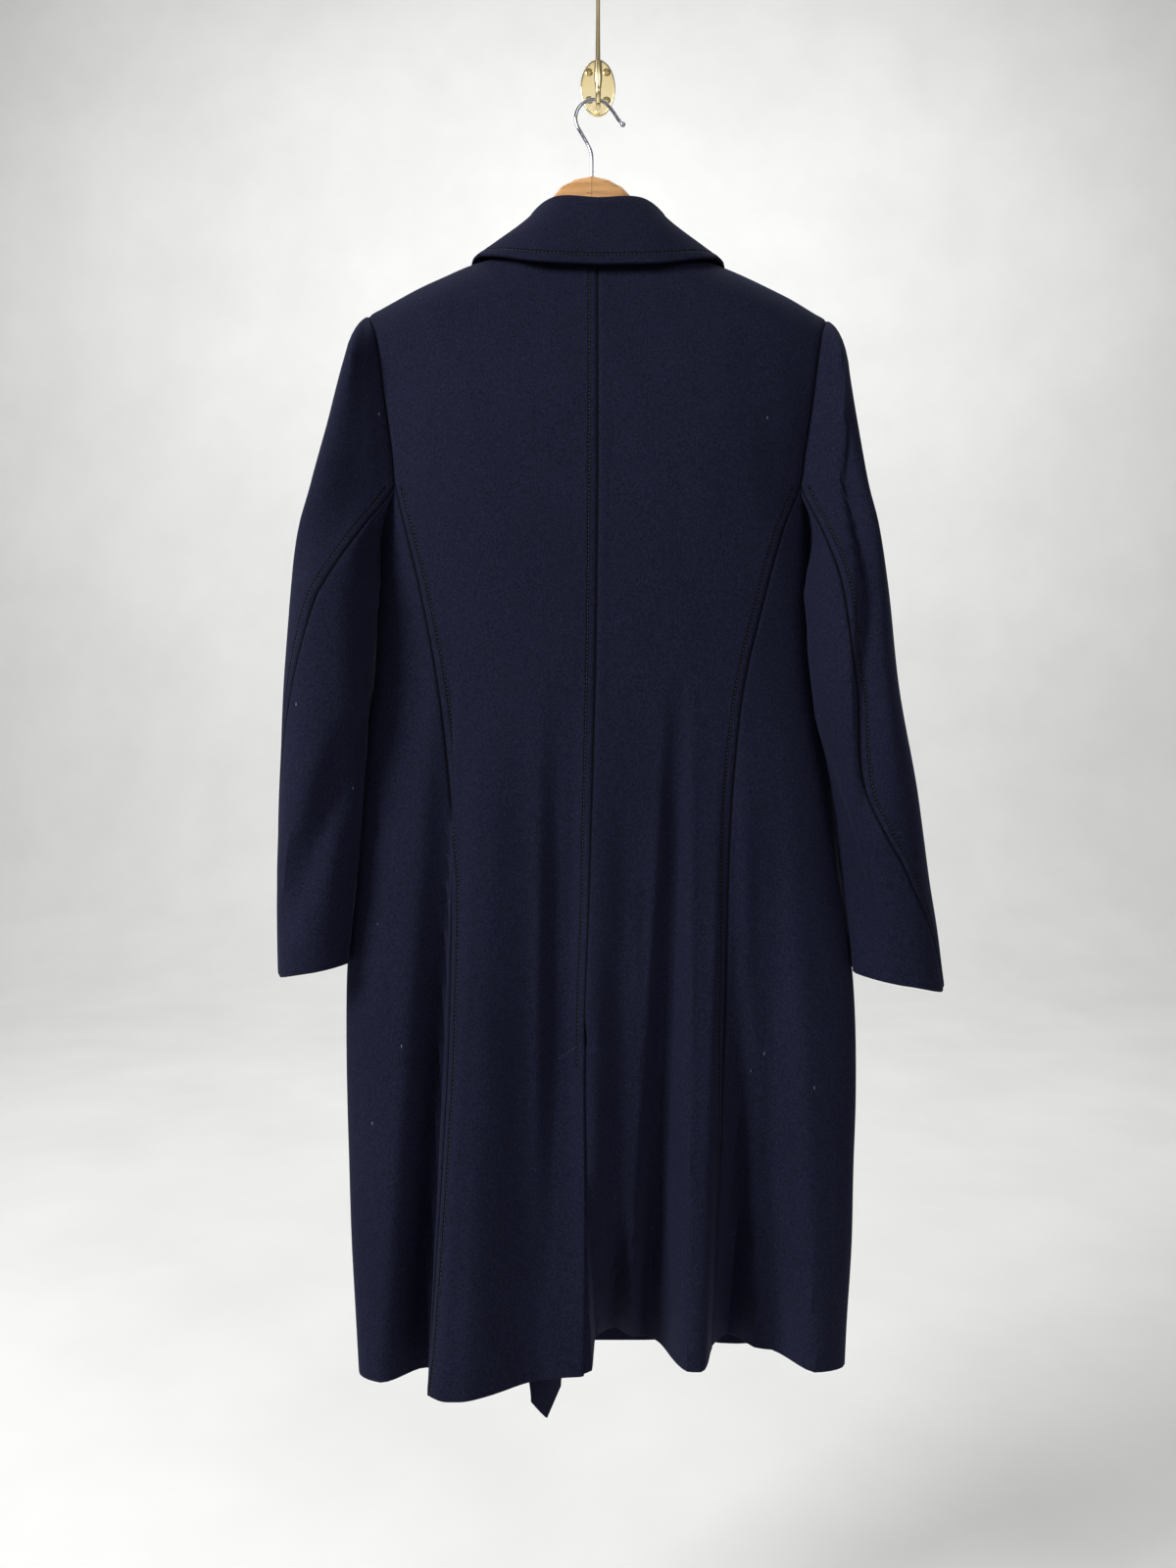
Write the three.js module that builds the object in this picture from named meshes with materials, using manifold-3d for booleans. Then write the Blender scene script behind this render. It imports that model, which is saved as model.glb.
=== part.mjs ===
// A belted wool coat on a wooden hanger, hung by the hanger's wire from a brass wall hook.
//
// Millimetres, +Z up. The wall is the plane y = 0 and everything hangs in front of it, on the -Y side: the
// coat's back faces outward (-Y) and its fronts face the wall. The origin is the middle of the wall plate's
// back. -X is the wearer's left, +X the wearer's right.
//
// Each cut piece of cloth is a wall of its own, worked out from the same few functions: body() for the
// panels, sleeve() for the sleeves and collar() for the collar, so that neighbours meet along one seam line.

import * as THREE from "three";
import { mergeVertices } from "three/addons/utils/BufferGeometryUtils.js";
import Module from "manifold-3d";

const wasm = await Module();
wasm.setup();

// ---------------------------------------------------------------- driving sizes

const CLOTH = 2.4; // coating with its interlining
const SEAM = 0.36; // between neighbouring pieces
const LAYER = CLOTH + 0.9; // from one layer's outer face to the next one's, where a piece lies on another

const HEM_BACK = -1236;
const HEM_FRONT = -1257;
const UNDERARM = -465; // lowest point of the armhole
const NOTCH = -423; // where the side panel, the sleeve seams and the armhole meet
const TIP = { x: 226, z: -251 }; // where shoulder seam and armhole meet
const NECK = { x: 74, z: -183 }; // where shoulder seam and collar meet
const TILT = 0.012; // the hanger hangs a little lower on the right
const ARCH = 5.5; // how far the shoulder seam arches over a straight line
const SHOULDER_Y = -37; // the shoulder seam, over the middle of the hanger
const SQUARE = 2.6; // the body's sections are superellipses of this power

const WOOL = { color: 0x1b1e33, roughness: 0.95, metalness: 0 };
const BEECH = { color: 0xcb9a66, roughness: 0.5, metalness: 0 };
const CHROME = { color: 0xc9ccd2, roughness: 0.12, metalness: 1 };
const BRASS = { color: 0xd0b062, roughness: 0.2, metalness: 1 };

// ---------------------------------------------------------------- tables

// Rows of numbers under named columns.
function table(columns, rows) {
  const names = columns.split(" ");
  return rows.map((row) => Object.fromEntries(names.map((name, i) => [name, row[i]])));
}

// The coat's level sections: its widest points to the left and right, how far from the wall those lie,
// and how far from the wall the middle of its back and of its front lie.
const BODY = table("z left right side back front", [
  [-180, -250, 250, -36, -74, -19],
  [-250, -243, 246, -40, -88, -18],
  [-345, -222, 222, -46, -102, -17],
  [-425, -208, 206, -50, -107, -17],
  [-524, -212, 205, -54, -108, -20],
  [-616, -217, 208, -59, -106, -28],
  [-708, -227, 220, -66, -110, -30],
  [-800, -232, 229, -74, -118, -28],
  [-890, -238, 241, -82, -126, -26],
  [-1000, -236, 241, -90, -136, -26],
  [-1120, -231, 236, -97, -146, -28],
  [-1260, -222, 228, -102, -153, -30],
]);

// Where the long back seams run, seen square on to the back.
const SEAMS = table("z left middle right", [
  [-240, -226, -1, 226],
  [-254, -223.5, -1, 223.5],
  [-278, -213.5, -1, 214],
  [-345, -203.5, -1, 204],
  [-395, -196.5, -1, 196],
  [-423, -194, -1, 192],
  [-469, -182, -1.5, 174],
  [-524, -168, -2, 158],
  [-616, -150, -3.5, 136],
  [-708, -141, -6, 125.5],
  [-800, -136, -9, 121],
  [-950, -134, -14, 118],
  [-1100, -138, -13, 115],
  [-1260, -146, -13, 112],
]);

// The front's part of the armhole, and the line along which a front ends: the roll of its lapel, then its
// edge on the other side of the middle. Both are distances from the middle.
const FRONT_ARMHOLE = table("z x", [
  [-240, 226],
  [-254, 223.5],
  [-278, 210],
  [-320, 196],
  [-370, 189],
  [-423, 194],
]);
const FRONT_EDGE = table("z x", [
  [-183, 74],
  [-200, 71],
  [-226, 64],
  [-505, 8],
  [-525, -24],
  [-550, -50],
  [-600, -52],
  [-1260, -50],
]);

// Long soft folds. Each runs from x0 at its top to x1 at the hem, half as wide as w0 and w1 say (skew times
// that on its right), with a flat share in its middle. out moves the cloth towards the wall at the hem, lean
// moves it to the right; a fold with fade 1 has died away again at the hem.
const BACK_FOLDS = table("top x0 x1 w0 w1 flat out lean power fade skew", [
  [-600, -137, -154, 20, 46, 0.05, 46, 6, 1.0, 0, 0.25], // deep valley beside the left back seam, steep on its right
  [-620, -100, -118, 28, 60, 0.1, -35, -10, 1.1, 0, 1.15], // the crest that overhangs it
  [-560, -30, -36, 26, 24, 0.2, 13, 0, 1.0, 1, 1], // shallow hollow left of the middle seam
  [-1060, -7, 0, 4, 5, 0.35, 62, 0, 1.5, 0, 9], // the hem's hollow right of the vent
  [-640, 36, 26, 30, 44, 0.2, 35, 0, 1.4, 0, 1], // the wide hollow above it
  [-600, 76, 52, 14, 30, 0.1, 54, 0, 1.15, 0, 1], // dark valley beside that
  [-640, 101, 88, 18, 24, 0.2, 8, 0, 1.0, 0, 1], // crest of the right panel
  [-640, 123, 121, 12, 30, 0.2, 37, -5, 1.3, 0, 1], // gutter along the right back seam
  [-700, 158, 146, 24, 52, 0.2, 50, 0, 1.3, 0, 1], // the slow rise beyond it
]);
const FRONT_FOLDS = table("top x0 x1 w0 w1 flat out lean power fade skew", [
  [-640, -140, -150, 24, 44, 0.2, -24, 0, 1.0, 0, 1],
  [-700, -92, -90, 20, 34, 0.1, 9, 0, 1.0, 0, 1],
  [-660, 122, 128, 22, 46, 0.1, -9, 0, 1.0, 0, 1],
  [-720, 76, 76, 16, 26, 0.1, 8, 0, 1.0, 0, 1],
]);

// How much lower the hem hangs at the back, from the left side to the vent.
const HEM_DROP = table("x drop", [
  [-154, 13],
  [-143, 5],
  [-120, 5],
  [-83, 4],
  [-57, 3],
  [-35, 1],
  [-14, 0],
]);

// The sleeves' level sections: middle, half thickness and half breadth, and at which angle round the
// sleeve its back seam and its front seam run: 0 is outward, 90 the back, 180 in towards the body.
const SLEEVE = {
  left: table("z x y thick broad back front", [
    [-290, 209, -56, 33, 44, 118, 248],
    [-345, 215, -58, 41, 48, 116, 250],
    [-423, 230.5, -62, 44.5, 54, 114, 252],
    [-465, 244, -66, 41, 59, 106, 252],
    [-524, 253.5, -70, 37, 61, 92, 254],
    [-616, 260.5, -72, 36.5, 61, 62, 256],
    [-708, 264.5, -73, 35.5, 60, 34, 258],
    [-800, 268, -73, 35, 59, 14, 258],
    [-900, 269, -73, 33, 58, 4, 258],
  ]),
  right: table("z x y thick broad back front", [
    [-290, 208, -56, 31, 44, 118, 248],
    [-345, 210.5, -58, 36, 48, 116, 250],
    [-423, 221, -62, 37, 54, 114, 252],
    [-465, 231, -66, 35, 59, 112, 252],
    [-524, 237.5, -70, 35.5, 61, 108, 254],
    [-616, 246.5, -72, 36.5, 61, 104, 256],
    [-708, 261.5, -73, 37.5, 60, 116, 258],
    [-755, 269, -73, 36.5, 59, 98, 258],
    [-800, 275, -73, 36.5, 58, 78, 258],
    [-850, 281, -73, 39, 57, 52, 258],
    [-910, 285, -73, 43, 55, 30, 258],
  ]),
};
const CORNER = 9; // how far the cuffs' outermost corners round up
const CUFF = { left: { z: -881, drop: 0.2 }, right: { z: -893, drop: 0.28 } };

// Folds in the sleeves: turned round the sleeve from a0 to a1 degrees between top and low, w degrees to
// either side (skew times that on the side of the back), and so many millimetres deep.
const SLEEVE_FOLDS = {
  left: table("top low a0 a1 w deep skew", [
    [-640, -860, 150, 60, 34, 11, 1],
    [-520, -760, 120, 146, 26, -4, 1],
  ]),
  right: table("top low a0 a1 w deep skew", [
    [-300, -760, 44, 124, 34, 11, 0.35],
    [-660, -880, 176, 128, 30, 9, 1],
  ]),
};

// The collar, from the middle of the back (v = 0) round to its front point (v = 1): the fold that it turns
// over, and its outer edge. Both halves are alike.
const COLLAR = table("v fx fy fz ex ey ez", [
  [0, 0, -72, -146, 0, -89, -217],
  [0.26, 40, -66, -142.5, 60, -88, -214],
  [0.46, 63, -50, -150, 103, -72, -202],
  [0.62, 71, -36, -163, 124, -42, -194],
  [0.8, 73, -17, -181, 127, -13.5, -222],
  [1, 70, -14, -213, 112, -13.5, -262],
]);

// The lapel's outer edge, from the notch under the collar down to where the lapel starts.
const LAPEL = table("u x z", [
  [0, 100, -266],
  [0.1, 122, -290],
  [0.3, 106, -346],
  [0.6, 66, -424],
  [0.85, 32, -476],
  [1, 15, -494],
]);

// The hanger's two halves: the top of the wood, how deep and how thick it is, by distance from the middle.
const HANGER = table("x top deep thick", [
  [0.2, -109, 80.5, 15],
  [16, -112, 78.5, 15],
  [30, -119.5, 73, 15],
  [40, -131, 65, 15],
  [48, -149, 52, 14],
  [55, -173, 38, 13],
  [62, -189.2, 32, 13],
  [74, -190.4, 32, 13],
  [90, -194.2, 31, 13],
  [150, -220.6, 27, 13],
  [200, -243, 25, 13],
  [211, -248.2, 20, 12],
  [216, -254, 9, 8],
]);

// ---------------------------------------------------------------- small helpers

const { cos, sin, abs, sqrt, min, max, PI, asin, sign } = Math;
const lerp = THREE.MathUtils.lerp;
const rad = THREE.MathUtils.degToRad;
const smooth = (t) => THREE.MathUtils.smoothstep(t, 0, 1);
const share = (x, from, to) => min(1, max(0, (x - from) / (to - from)));
const spread = (count, from = 0, to = 1) => Array.from({ length: count + 1 }, (_, i) => lerp(from, to, i / count));
const V = (x, y, z) => new THREE.Vector3(x, y, z);
const HANDS = { left: -1, right: 1 };

// A column of a table at a height, or at any other key, through its rows as one smooth curve.
function at(rows, key, column, by = "z") {
  const order = rows[0][by] > rows[rows.length - 1][by] ? -1 : 1;
  const k = order * key;
  const i = rows.findIndex((row) => order * row[by] > k) - 1;
  if (i === -1) return rows[0][column];
  if (i < 0) return rows[rows.length - 1][column];
  const slope = (j) => {
    const a = rows[max(0, j - 1)];
    const b = rows[min(rows.length - 1, j + 1)];
    return (b[column] - a[column]) / (order * (b[by] - a[by]));
  };
  const [a, b] = [rows[i], rows[i + 1]];
  const run = order * (b[by] - a[by]);
  const t = (k - order * a[by]) / run;
  return (
    (2 * t ** 3 - 3 * t ** 2 + 1) * a[column] +
    (t ** 3 - 2 * t ** 2 + t) * slope(i) * run +
    (3 * t ** 2 - 2 * t ** 3) * b[column] +
    (t ** 3 - t ** 2) * slope(i + 1) * run
  );
}

// ---------------------------------------------------------------- the body's surface

// Angles run round the body: 0 is the middle of the back, 90 degrees the right side, 180 the front.
function angleOf(x, z, front) {
  const [left, right] = [at(BODY, z, "left"), at(BODY, z, "right")];
  const reach = max(-1, min(1, (2 * x - left - right) / (right - left)));
  const back = asin(reach);
  return front ? (x < 0 ? -PI : PI) - back : back;
}

// The shoulder seam's height: a slope that arches a little over the hanger.
function shoulderZ(x) {
  const t = max(0, abs(x) - NECK.x) / (TIP.x - NECK.x);
  return lerp(NECK.z, TIP.z, t) + ARCH * sin(PI * min(1, t)) - TILT * x;
}

// The top edge of the body: the shoulder seam, and at the back between its ends the neck.
function topEdge(x, front) {
  const inNeck = front ? 0 : max(0, 1 - (x / NECK.x) ** 2);
  return { y: SHOULDER_Y - 26 * inNeck, z: shoulderZ(x) - 15 * inNeck };
}

function foldShape(fold, x, z) {
  const q = share(z, fold.top, HEM_BACK);
  const away = x - lerp(fold.x0, fold.x1, q);
  const t = abs(away) / lerp(fold.w0, fold.w1, q) / (away > 0 ? fold.skew : 1);
  const across = 1 - smooth((t - fold.flat) / (1 - fold.flat));
  return across * (fold.fade ? sin(PI * q) ** 2 : q ** fold.power);
}

// A point of the coat's outer face, at an angle round the body and a height.
function body(angle, z) {
  const [left, right, side] = ["left", "right", "side"].map((column) => at(BODY, z, column));
  const front = cos(angle) < 0;
  const deep = at(BODY, z, front ? "front" : "back") - side;
  const x = (left + right) / 2 + ((right - left) / 2) * sin(angle);
  const level = side + deep * max(0, 1 - abs(sin(angle)) ** SQUARE) ** (1 / SQUARE);
  const point = Object.assign(V(x, level, z), { angle });
  for (const fold of front ? FRONT_FOLDS : BACK_FOLDS) {
    const shape = foldShape(fold, x, z);
    point.y += fold.out * shape;
    point.x += fold.lean * shape;
  }
  const edge = topEdge(x, front);
  const below = share(edge.z - z, 0, front ? 22 : 52);
  point.y = lerp(edge.y, point.y, sqrt(1 - (1 - below) ** 2));
  return point;
}

const onBack = (x, z) => body(angleOf(x, z, false), z);
const onFront = (x, z) => body(angleOf(x, z, true), z);

// The hem's height, by the angle round the body.
function hemZ(angle) {
  const [left, right] = [at(BODY, HEM_BACK, "left"), at(BODY, HEM_BACK, "right")];
  const x = (left + right) / 2 + ((right - left) / 2) * sin(angle);
  return lerp(HEM_BACK - at(HEM_DROP, x, "drop", "x"), HEM_FRONT, (1 - cos(angle)) / 2);
}

// ---------------------------------------------------------------- the armhole

const SIDE = rad(93); // the side seam
const TIPS = [-1, 1].map((hand) => at(SEAMS, shoulderZ(hand * TIP.x), hand < 0 ? "left" : "right"));
const tipX = (hand) => abs(TIPS[hand < 0 ? 0 : 1]);
const tipZ = (hand) => shoulderZ(hand * tipX(hand));
const ARM_AXIS = { y: -42, z: -350 };

const armBack = (hand, z) => onBack(at(SEAMS, z, hand < 0 ? "left" : "right"), z);
const armFront = (hand, z) => onFront(hand * at(FRONT_ARMHOLE, z, "x"), z);

// Its lower part, from the notch at the back (s = 0) past the side seam (0.5) to the notch at the front.
function armUnderAngle(hand, s) {
  const back = angleOf(at(SEAMS, NOTCH, hand < 0 ? "left" : "right"), NOTCH, false) * hand;
  const front = angleOf(hand * at(FRONT_ARMHOLE, NOTCH, "x"), NOTCH, true) * hand;
  return hand * (s < 0.5 ? lerp(back, SIDE, s * 2) : lerp(SIDE, front, s * 2 - 1));
}
const armUnder = (hand, s) => body(armUnderAngle(hand, s), NOTCH - (NOTCH - UNDERARM) * sin(PI * s));

// Where pieces meet round the armhole their edges all face away from its middle.
const armNormal = (point) => V(0, point.y - ARM_AXIS.y, (point.z - ARM_AXIS.z) / 2.2).normalize();

// ---------------------------------------------------------------- walls of cloth

// A closed wall from a grid of outer points. point(s, t) lies on its outer face, with s across the piece
// and t down it, both from 0 to 1; the inner face lies one thickness under it. s runs to the right as
// seen from outside, or to the left with flip. edge may give another normal where the piece meets others.
function wall(name, material, columns, rows, point, { thick = CLOTH, flip = false, edge = null } = {}) {
  const step = 2e-3;
  const inside = (value) => min(1, max(0, value));
  const outer = [];
  const inner = [];
  for (const t of rows)
    for (const s of columns) {
      const p = point(s, t);
      const across = point(inside(s + step), t).sub(point(inside(s - step), t));
      const down = point(s, inside(t + step)).sub(point(s, inside(t - step)));
      const normal = down.cross(across).normalize().multiplyScalar(flip ? -1 : 1);
      const own = edge ? edge(s, t, p) : null;
      outer.push(p);
      inner.push(p.clone().addScaledVector(own ?? normal, -thick));
    }
  return solid(name, sheet(columns.length, rows.length, outer, inner, flip), material);
}

// The outer and inner grids, joined along their rim.
function sheet(across, down, outer, inner, flip) {
  const total = across * down;
  const faces = [];
  const quad = (a, b, c, d) => faces.push(a, b, c, a, c, d);
  for (let j = 0; j + 1 < down; j++)
    for (let i = 0; i + 1 < across; i++) {
      const [a, b] = [j * across + i, j * across + i + 1];
      const [c, d] = [b + across, a + across];
      quad(a, d, c, b);
      quad(total + a, total + b, total + c, total + d);
    }
  const rim = [];
  for (let i = 0; i < across - 1; i++) rim.push(i);
  for (let j = 0; j < down - 1; j++) rim.push(j * across + across - 1);
  for (let i = across - 1; i > 0; i--) rim.push((down - 1) * across + i);
  for (let j = down - 1; j > 0; j--) rim.push(j * across);
  rim.forEach((a, i) => {
    const b = rim[(i + 1) % rim.length];
    quad(a, b, total + b, total + a);
  });
  if (flip) faces.reverse();
  const geometry = new THREE.BufferGeometry().setFromPoints([...outer, ...inner]);
  return geometry.setIndex(faces);
}

function solid(name, geometry, material) {
  const mesh = new THREE.Mesh(geometry, new THREE.MeshStandardMaterial(material));
  mesh.name = name;
  return mesh;
}

// Shares across a piece that are equally far apart along the cloth, on the row t.
function even(count, point, t, from = 0, to = 1) {
  const fine = spread(300, from, to);
  const run = [0];
  for (let i = 1; i < fine.length; i++)
    run.push(run[i - 1] + point(fine[i], t).distanceTo(point(fine[i - 1], t)));
  return spread(count, 0, run[300]).map((goal) => {
    const i = max(1, run.findIndex((value) => value >= goal - 1e-9));
    return lerp(fine[i - 1], fine[i], (goal - run[i - 1]) / (run[i] - run[i - 1]));
  });
}

// ---------------------------------------------------------------- rows down a panel

// A row is told by a number: below 0 it is one of the shoulder, from 0 at the notch to 1 at the hem it is
// a share of the skirt. A shoulder row keeps its distance under the panel's top edge for the first few,
// and then they spread out evenly down to the notch.
const SHOULDER_DEPTHS = [0, 3, 11, 26, 52];
const SHOULDER_ROWS = [...SHOULDER_DEPTHS.map((_, i) => -8 + i), -3, -2, -1].map((row) => row + 1);

function rowHeight(row, top) {
  const depths = SHOULDER_DEPTHS;
  const place = row + 7;
  if (place <= 4) {
    const i = min(3, Math.floor(place));
    return top - lerp(depths[i], depths[i + 1], place - i);
  }
  return lerp(top - depths[4], NOTCH, (place - 4) / 3);
}

const rows = (list) => {
  const [first, last] = [list[0], list[list.length - 1]];
  return { shares: list.map((row) => (row - first) / (last - first)), of: (t) => lerp(first, last, t) };
};
const LEVELS = [-485, -548, -610, -672, -735, -797, -860, -922, -985, -1048, -1110, -1173, HEM_BACK];
const VENT = { seam: -922, dipped: -937, lapped: -949, full: -985, lap: 36, share: 0.09, dip: CLOTH + 2.8 };
const UNDER_LEVELS = [-440, -456, -467]; // the armhole's lower part, at the front
const ROLL_LEVELS = [-505, -525];
const levels = (...lists) => lists.flat().sort((a, b) => b - a).map((z) => (NOTCH - z) / (NOTCH - HEM_BACK));
const VENT_LEVELS = [VENT.dipped, VENT.lapped, -961, -973];
const BACK_ROWS = rows([...SHOULDER_ROWS, ...levels(LEVELS, VENT_LEVELS)]);
const SIDE_ROWS = rows([0, ...levels(LEVELS, VENT_LEVELS)]);
const FRONT_ROWS = rows([...SHOULDER_ROWS, ...levels(LEVELS, UNDER_LEVELS, ROLL_LEVELS)]);

// The shares with the nearest one moved to a place of its own.
function snap(list, place) {
  const nearest = list.reduce((a, b) => (abs(b - place) < abs(a - place) ? b : a));
  return list.map((value) => (value === nearest ? place : value));
}

// Along one row from x0 to x1, half the seam's gap inside both.
function between(x0, x1, s) {
  const gap = (SEAM / 2) * sign(x1 - x0);
  return lerp(x0 + gap, x1 - gap, s);
}

// ---------------------------------------------------------------- the back

function backPoint(hand, s, t) {
  const row = BACK_ROWS.of(t);
  const outer = hand < 0 ? "left" : "right";
  const xAt = (z) => between(at(SEAMS, z, outer), at(SEAMS, z, "middle"), s);
  const topX = xAt(tipZ(hand));
  const edge = topEdge(topX, false);
  if (t === 0) return V(topX, edge.y - SEAM / 2, edge.z);
  const guess = row < 0 ? rowHeight(row, edge.z) : lerp(NOTCH, HEM_BACK, row);
  const x = row < 0 ? xAt(rowHeight(row, tipZ(hand))) : xAt(guess);
  const angle = angleOf(x, guess, false);
  const z = row < 0 ? guess : lerp(NOTCH, hemZ(angle), row);
  return body(angle, z);
}

// The right back reaches on under the left one below the top of the vent.
function rightBackPoint(s, t) {
  const lapped = share(s, 1, 1 - VENT.share);
  const flat = backPoint(1, s, t);
  const dipped = share(flat.z, VENT.seam, VENT.dipped);
  const open = share(flat.z, VENT.lapped, VENT.full);
  if (dipped === 0 || lapped === 1) return flat;
  const seam = at(SEAMS, flat.z, "middle");
  const x = lerp(flat.x, lerp(seam - VENT.lap, flat.x, lapped), open);
  const p = onBack(x, flat.z);
  const depth = VENT.dip * dipped * share(x, seam + 14, seam + 2);
  return p.addScaledVector(surfaceNormal(p.angle, p.z), -depth);
}

// The normals that a panel shares with its neighbours: along its top, up its armhole and down its seams.
function panelEdge(topNormal, inArmhole) {
  return (s, t, p) => {
    if (t === 0) return topNormal(p);
    if (s > 0 && s < 1) return null;
    return inArmhole(s, t) ? armNormal(p) : surfaceNormal(p.angle, p.z);
  };
}
const SHOULDER_SLOPE = Math.atan2(NECK.z - TIP.z, TIP.x - NECK.x);
const shoulderNormal = (p) => V(sign(p.x) * (abs(p.x) > NECK.x ? sin(SHOULDER_SLOPE) : 0), 0, 1).normalize();
const aboveNotch = (list, t) => list.of(t) <= 1e-6;

function back(side) {
  const hand = HANDS[side];
  const point = hand < 0 ? (s, t) => backPoint(-1, s, t) : rightBackPoint;
  const lap = hand < 0 ? [] : [0.75, 0.5, 0.25, 0].map((part) => 1 - VENT.share * part);
  const neck = (tipX(hand) - NECK.x) / (tipX(hand) + hand);
  const columns = [...snap(even(hand < 0 ? 14 : 12, point, 1, 0, hand < 0 ? 1 : 1 - VENT.share), neck), ...lap];
  const edge = panelEdge(shoulderNormal, (s, t) => s === 0 && aboveNotch(BACK_ROWS, t));
  return wall(`back_${side}`, WOOL, columns, BACK_ROWS.shares, point, { flip: hand > 0, edge });
}

// The side panel, from the back seam to the side seam.
function sidePoint(hand, s, t) {
  const outer = hand < 0 ? "left" : "right";
  const row = SIDE_ROWS.of(t);
  const top = NOTCH - (NOTCH - UNDERARM) * sin((PI / 2) * s);
  const guess = lerp(NOTCH, HEM_BACK, row);
  const seam = at(SEAMS, guess, outer) + hand * (SEAM / 2);
  const from = t === 0 ? armUnderAngle(hand, 0) : angleOf(seam, guess, false);
  const angle = lerp(from, hand * SIDE, s * 0.9985 + (t === 0 ? 0.0012 : 0));
  const level = lerp(NOTCH, hemZ(angle), row);
  return body(angle, min(level, lerp(top, level, share(row, 0, SIDE_ROWS.of(SIDE_ROWS.shares[1])))));
}

function side(name, hand) {
  const point = (s, t) => sidePoint(hand, s, t);
  const edge = panelEdge(armNormal, () => false);
  return wall(`side_${name}`, WOOL, even(6, point, 1), SIDE_ROWS.shares, point, { flip: hand < 0, edge });
}

// ---------------------------------------------------------------- the fronts

// The left front lies over the right one below the lapels.
const UNDER = { top: -480, full: -497, from: 80, to: 62, dip: CLOTH + 2.8 };

const FRONT_GAP = 0.0014; // in radians, off the side seam and the armhole

function frontOuter(hand, z) {
  if (z >= NOTCH) return angleOf(hand * at(FRONT_ARMHOLE, z, "x"), z, true);
  if (z <= UNDERARM) return hand * SIDE;
  return armUnderAngle(hand, 1 - asin(share(z, NOTCH, UNDERARM)) / PI);
}

function surfaceNormal(angle, z) {
  const across = body(angle + 0.003, z).sub(body(angle - 0.003, z));
  const down = body(angle, z - 0.5).sub(body(angle, z + 0.5));
  return down.cross(across).normalize();
}

// A point of the front's outer face, moved out so many millimetres.
function frontSurface(hand, angle, z, out = 0) {
  const p = body(angle, z);
  const across = hand > 0 ? share(p.x, UNDER.from, UNDER.to) : 0;
  const dip = UNDER.dip * across * share(z, UNDER.top, UNDER.full);
  return dip || out ? p.addScaledVector(surfaceNormal(angle, z), out - dip) : p;
}

function frontPoint(hand, s, t) {
  const row = FRONT_ROWS.of(t);
  const topX = hand * between(tipX(hand), NECK.x, s);
  if (t === 0) return V(topX, SHOULDER_Y + SEAM / 2, shoulderZ(topX));
  const guess = row < 0 ? rowHeight(row, shoulderZ(topX)) : lerp(NOTCH, HEM_FRONT, row);
  const outer = frontOuter(hand, row < 0 ? rowHeight(row, tipZ(hand)) : guess) + hand * FRONT_GAP * (1 - s);
  const edge = angleOf(hand * at(FRONT_EDGE, guess, "x"), guess, true);
  const round = lerp(outer, hand * edge < 0 ? edge + hand * 2 * PI : edge, s);
  const z = row < 0 ? guess : lerp(NOTCH, hemZ(round), row);
  if (row >= 0) return frontSurface(hand, round, z);
  const armX = at(FRONT_ARMHOLE, rowHeight(row, tipZ(hand)), "x");
  const straight = hand * between(armX, at(FRONT_EDGE, z, "x"), s);
  const across = lerp(straight, body(round, z).x, smooth(share(row, -3, 0)));
  return frontSurface(hand, angleOf(across, z, true), z);
}

function front(name, hand) {
  const point = (s, t) => frontPoint(hand, s, t);
  const edge = panelEdge(shoulderNormal, (s, t) => s === 0 && FRONT_ROWS.of(t) < 0.06);
  return wall(`front_${name}`, WOOL, even(10, point, 1), FRONT_ROWS.shares, point, { flip: hand < 0, edge });
}

// A lapel lies turned back on its front, from the roll line (v = 0) to its outer edge (v = 1).
function lapelPoint(hand, v, u) {
  const rollZ = lerp(-233, -484, u);
  const x = lerp(at(FRONT_EDGE, rollZ, "x"), at(LAPEL, u, "x", "u"), v);
  const z = lerp(rollZ, at(LAPEL, u, "z", "u"), v) - TILT * hand * x;
  return frontSurface(hand, angleOf(hand * x, z, true), z, LAYER - 0.1 + 1.6 * sin(PI * v));
}

function lapel(name, hand) {
  const point = (s, t) => lapelPoint(hand, 1 - s, t);
  return wall(`lapel_${name}`, WOOL, spread(4), spread(7), point, { flip: hand < 0 });
}

// ---------------------------------------------------------------- the collar

// The seam that the collar is set on by: round the neck, then down the first of each roll line.
function neckSeam(v, hand) {
  const turn = 0.55;
  const lift = SEAM + 0.1 + 3.1 * max(0, 1 - abs(v - 0.6) / 0.12);
  if (v <= turn) {
    const x = hand * (NECK.x + 0.6) * sin((v / turn) * (PI / 2));
    const edge = topEdge(hand * min(NECK.x, abs(x)), false);
    return V(x, edge.y - 1, edge.z + lift);
  }
  const q = (v - turn) / (1 - turn);
  const z = lerp(NECK.z, -226, q) - TILT * hand * NECK.x;
  const p = onFront(hand * (at(FRONT_EDGE, z, "x") + 0.6), z);
  return p.add(V(0, lift * min(1, q * 2), lift * (1 - q)));
}

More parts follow.
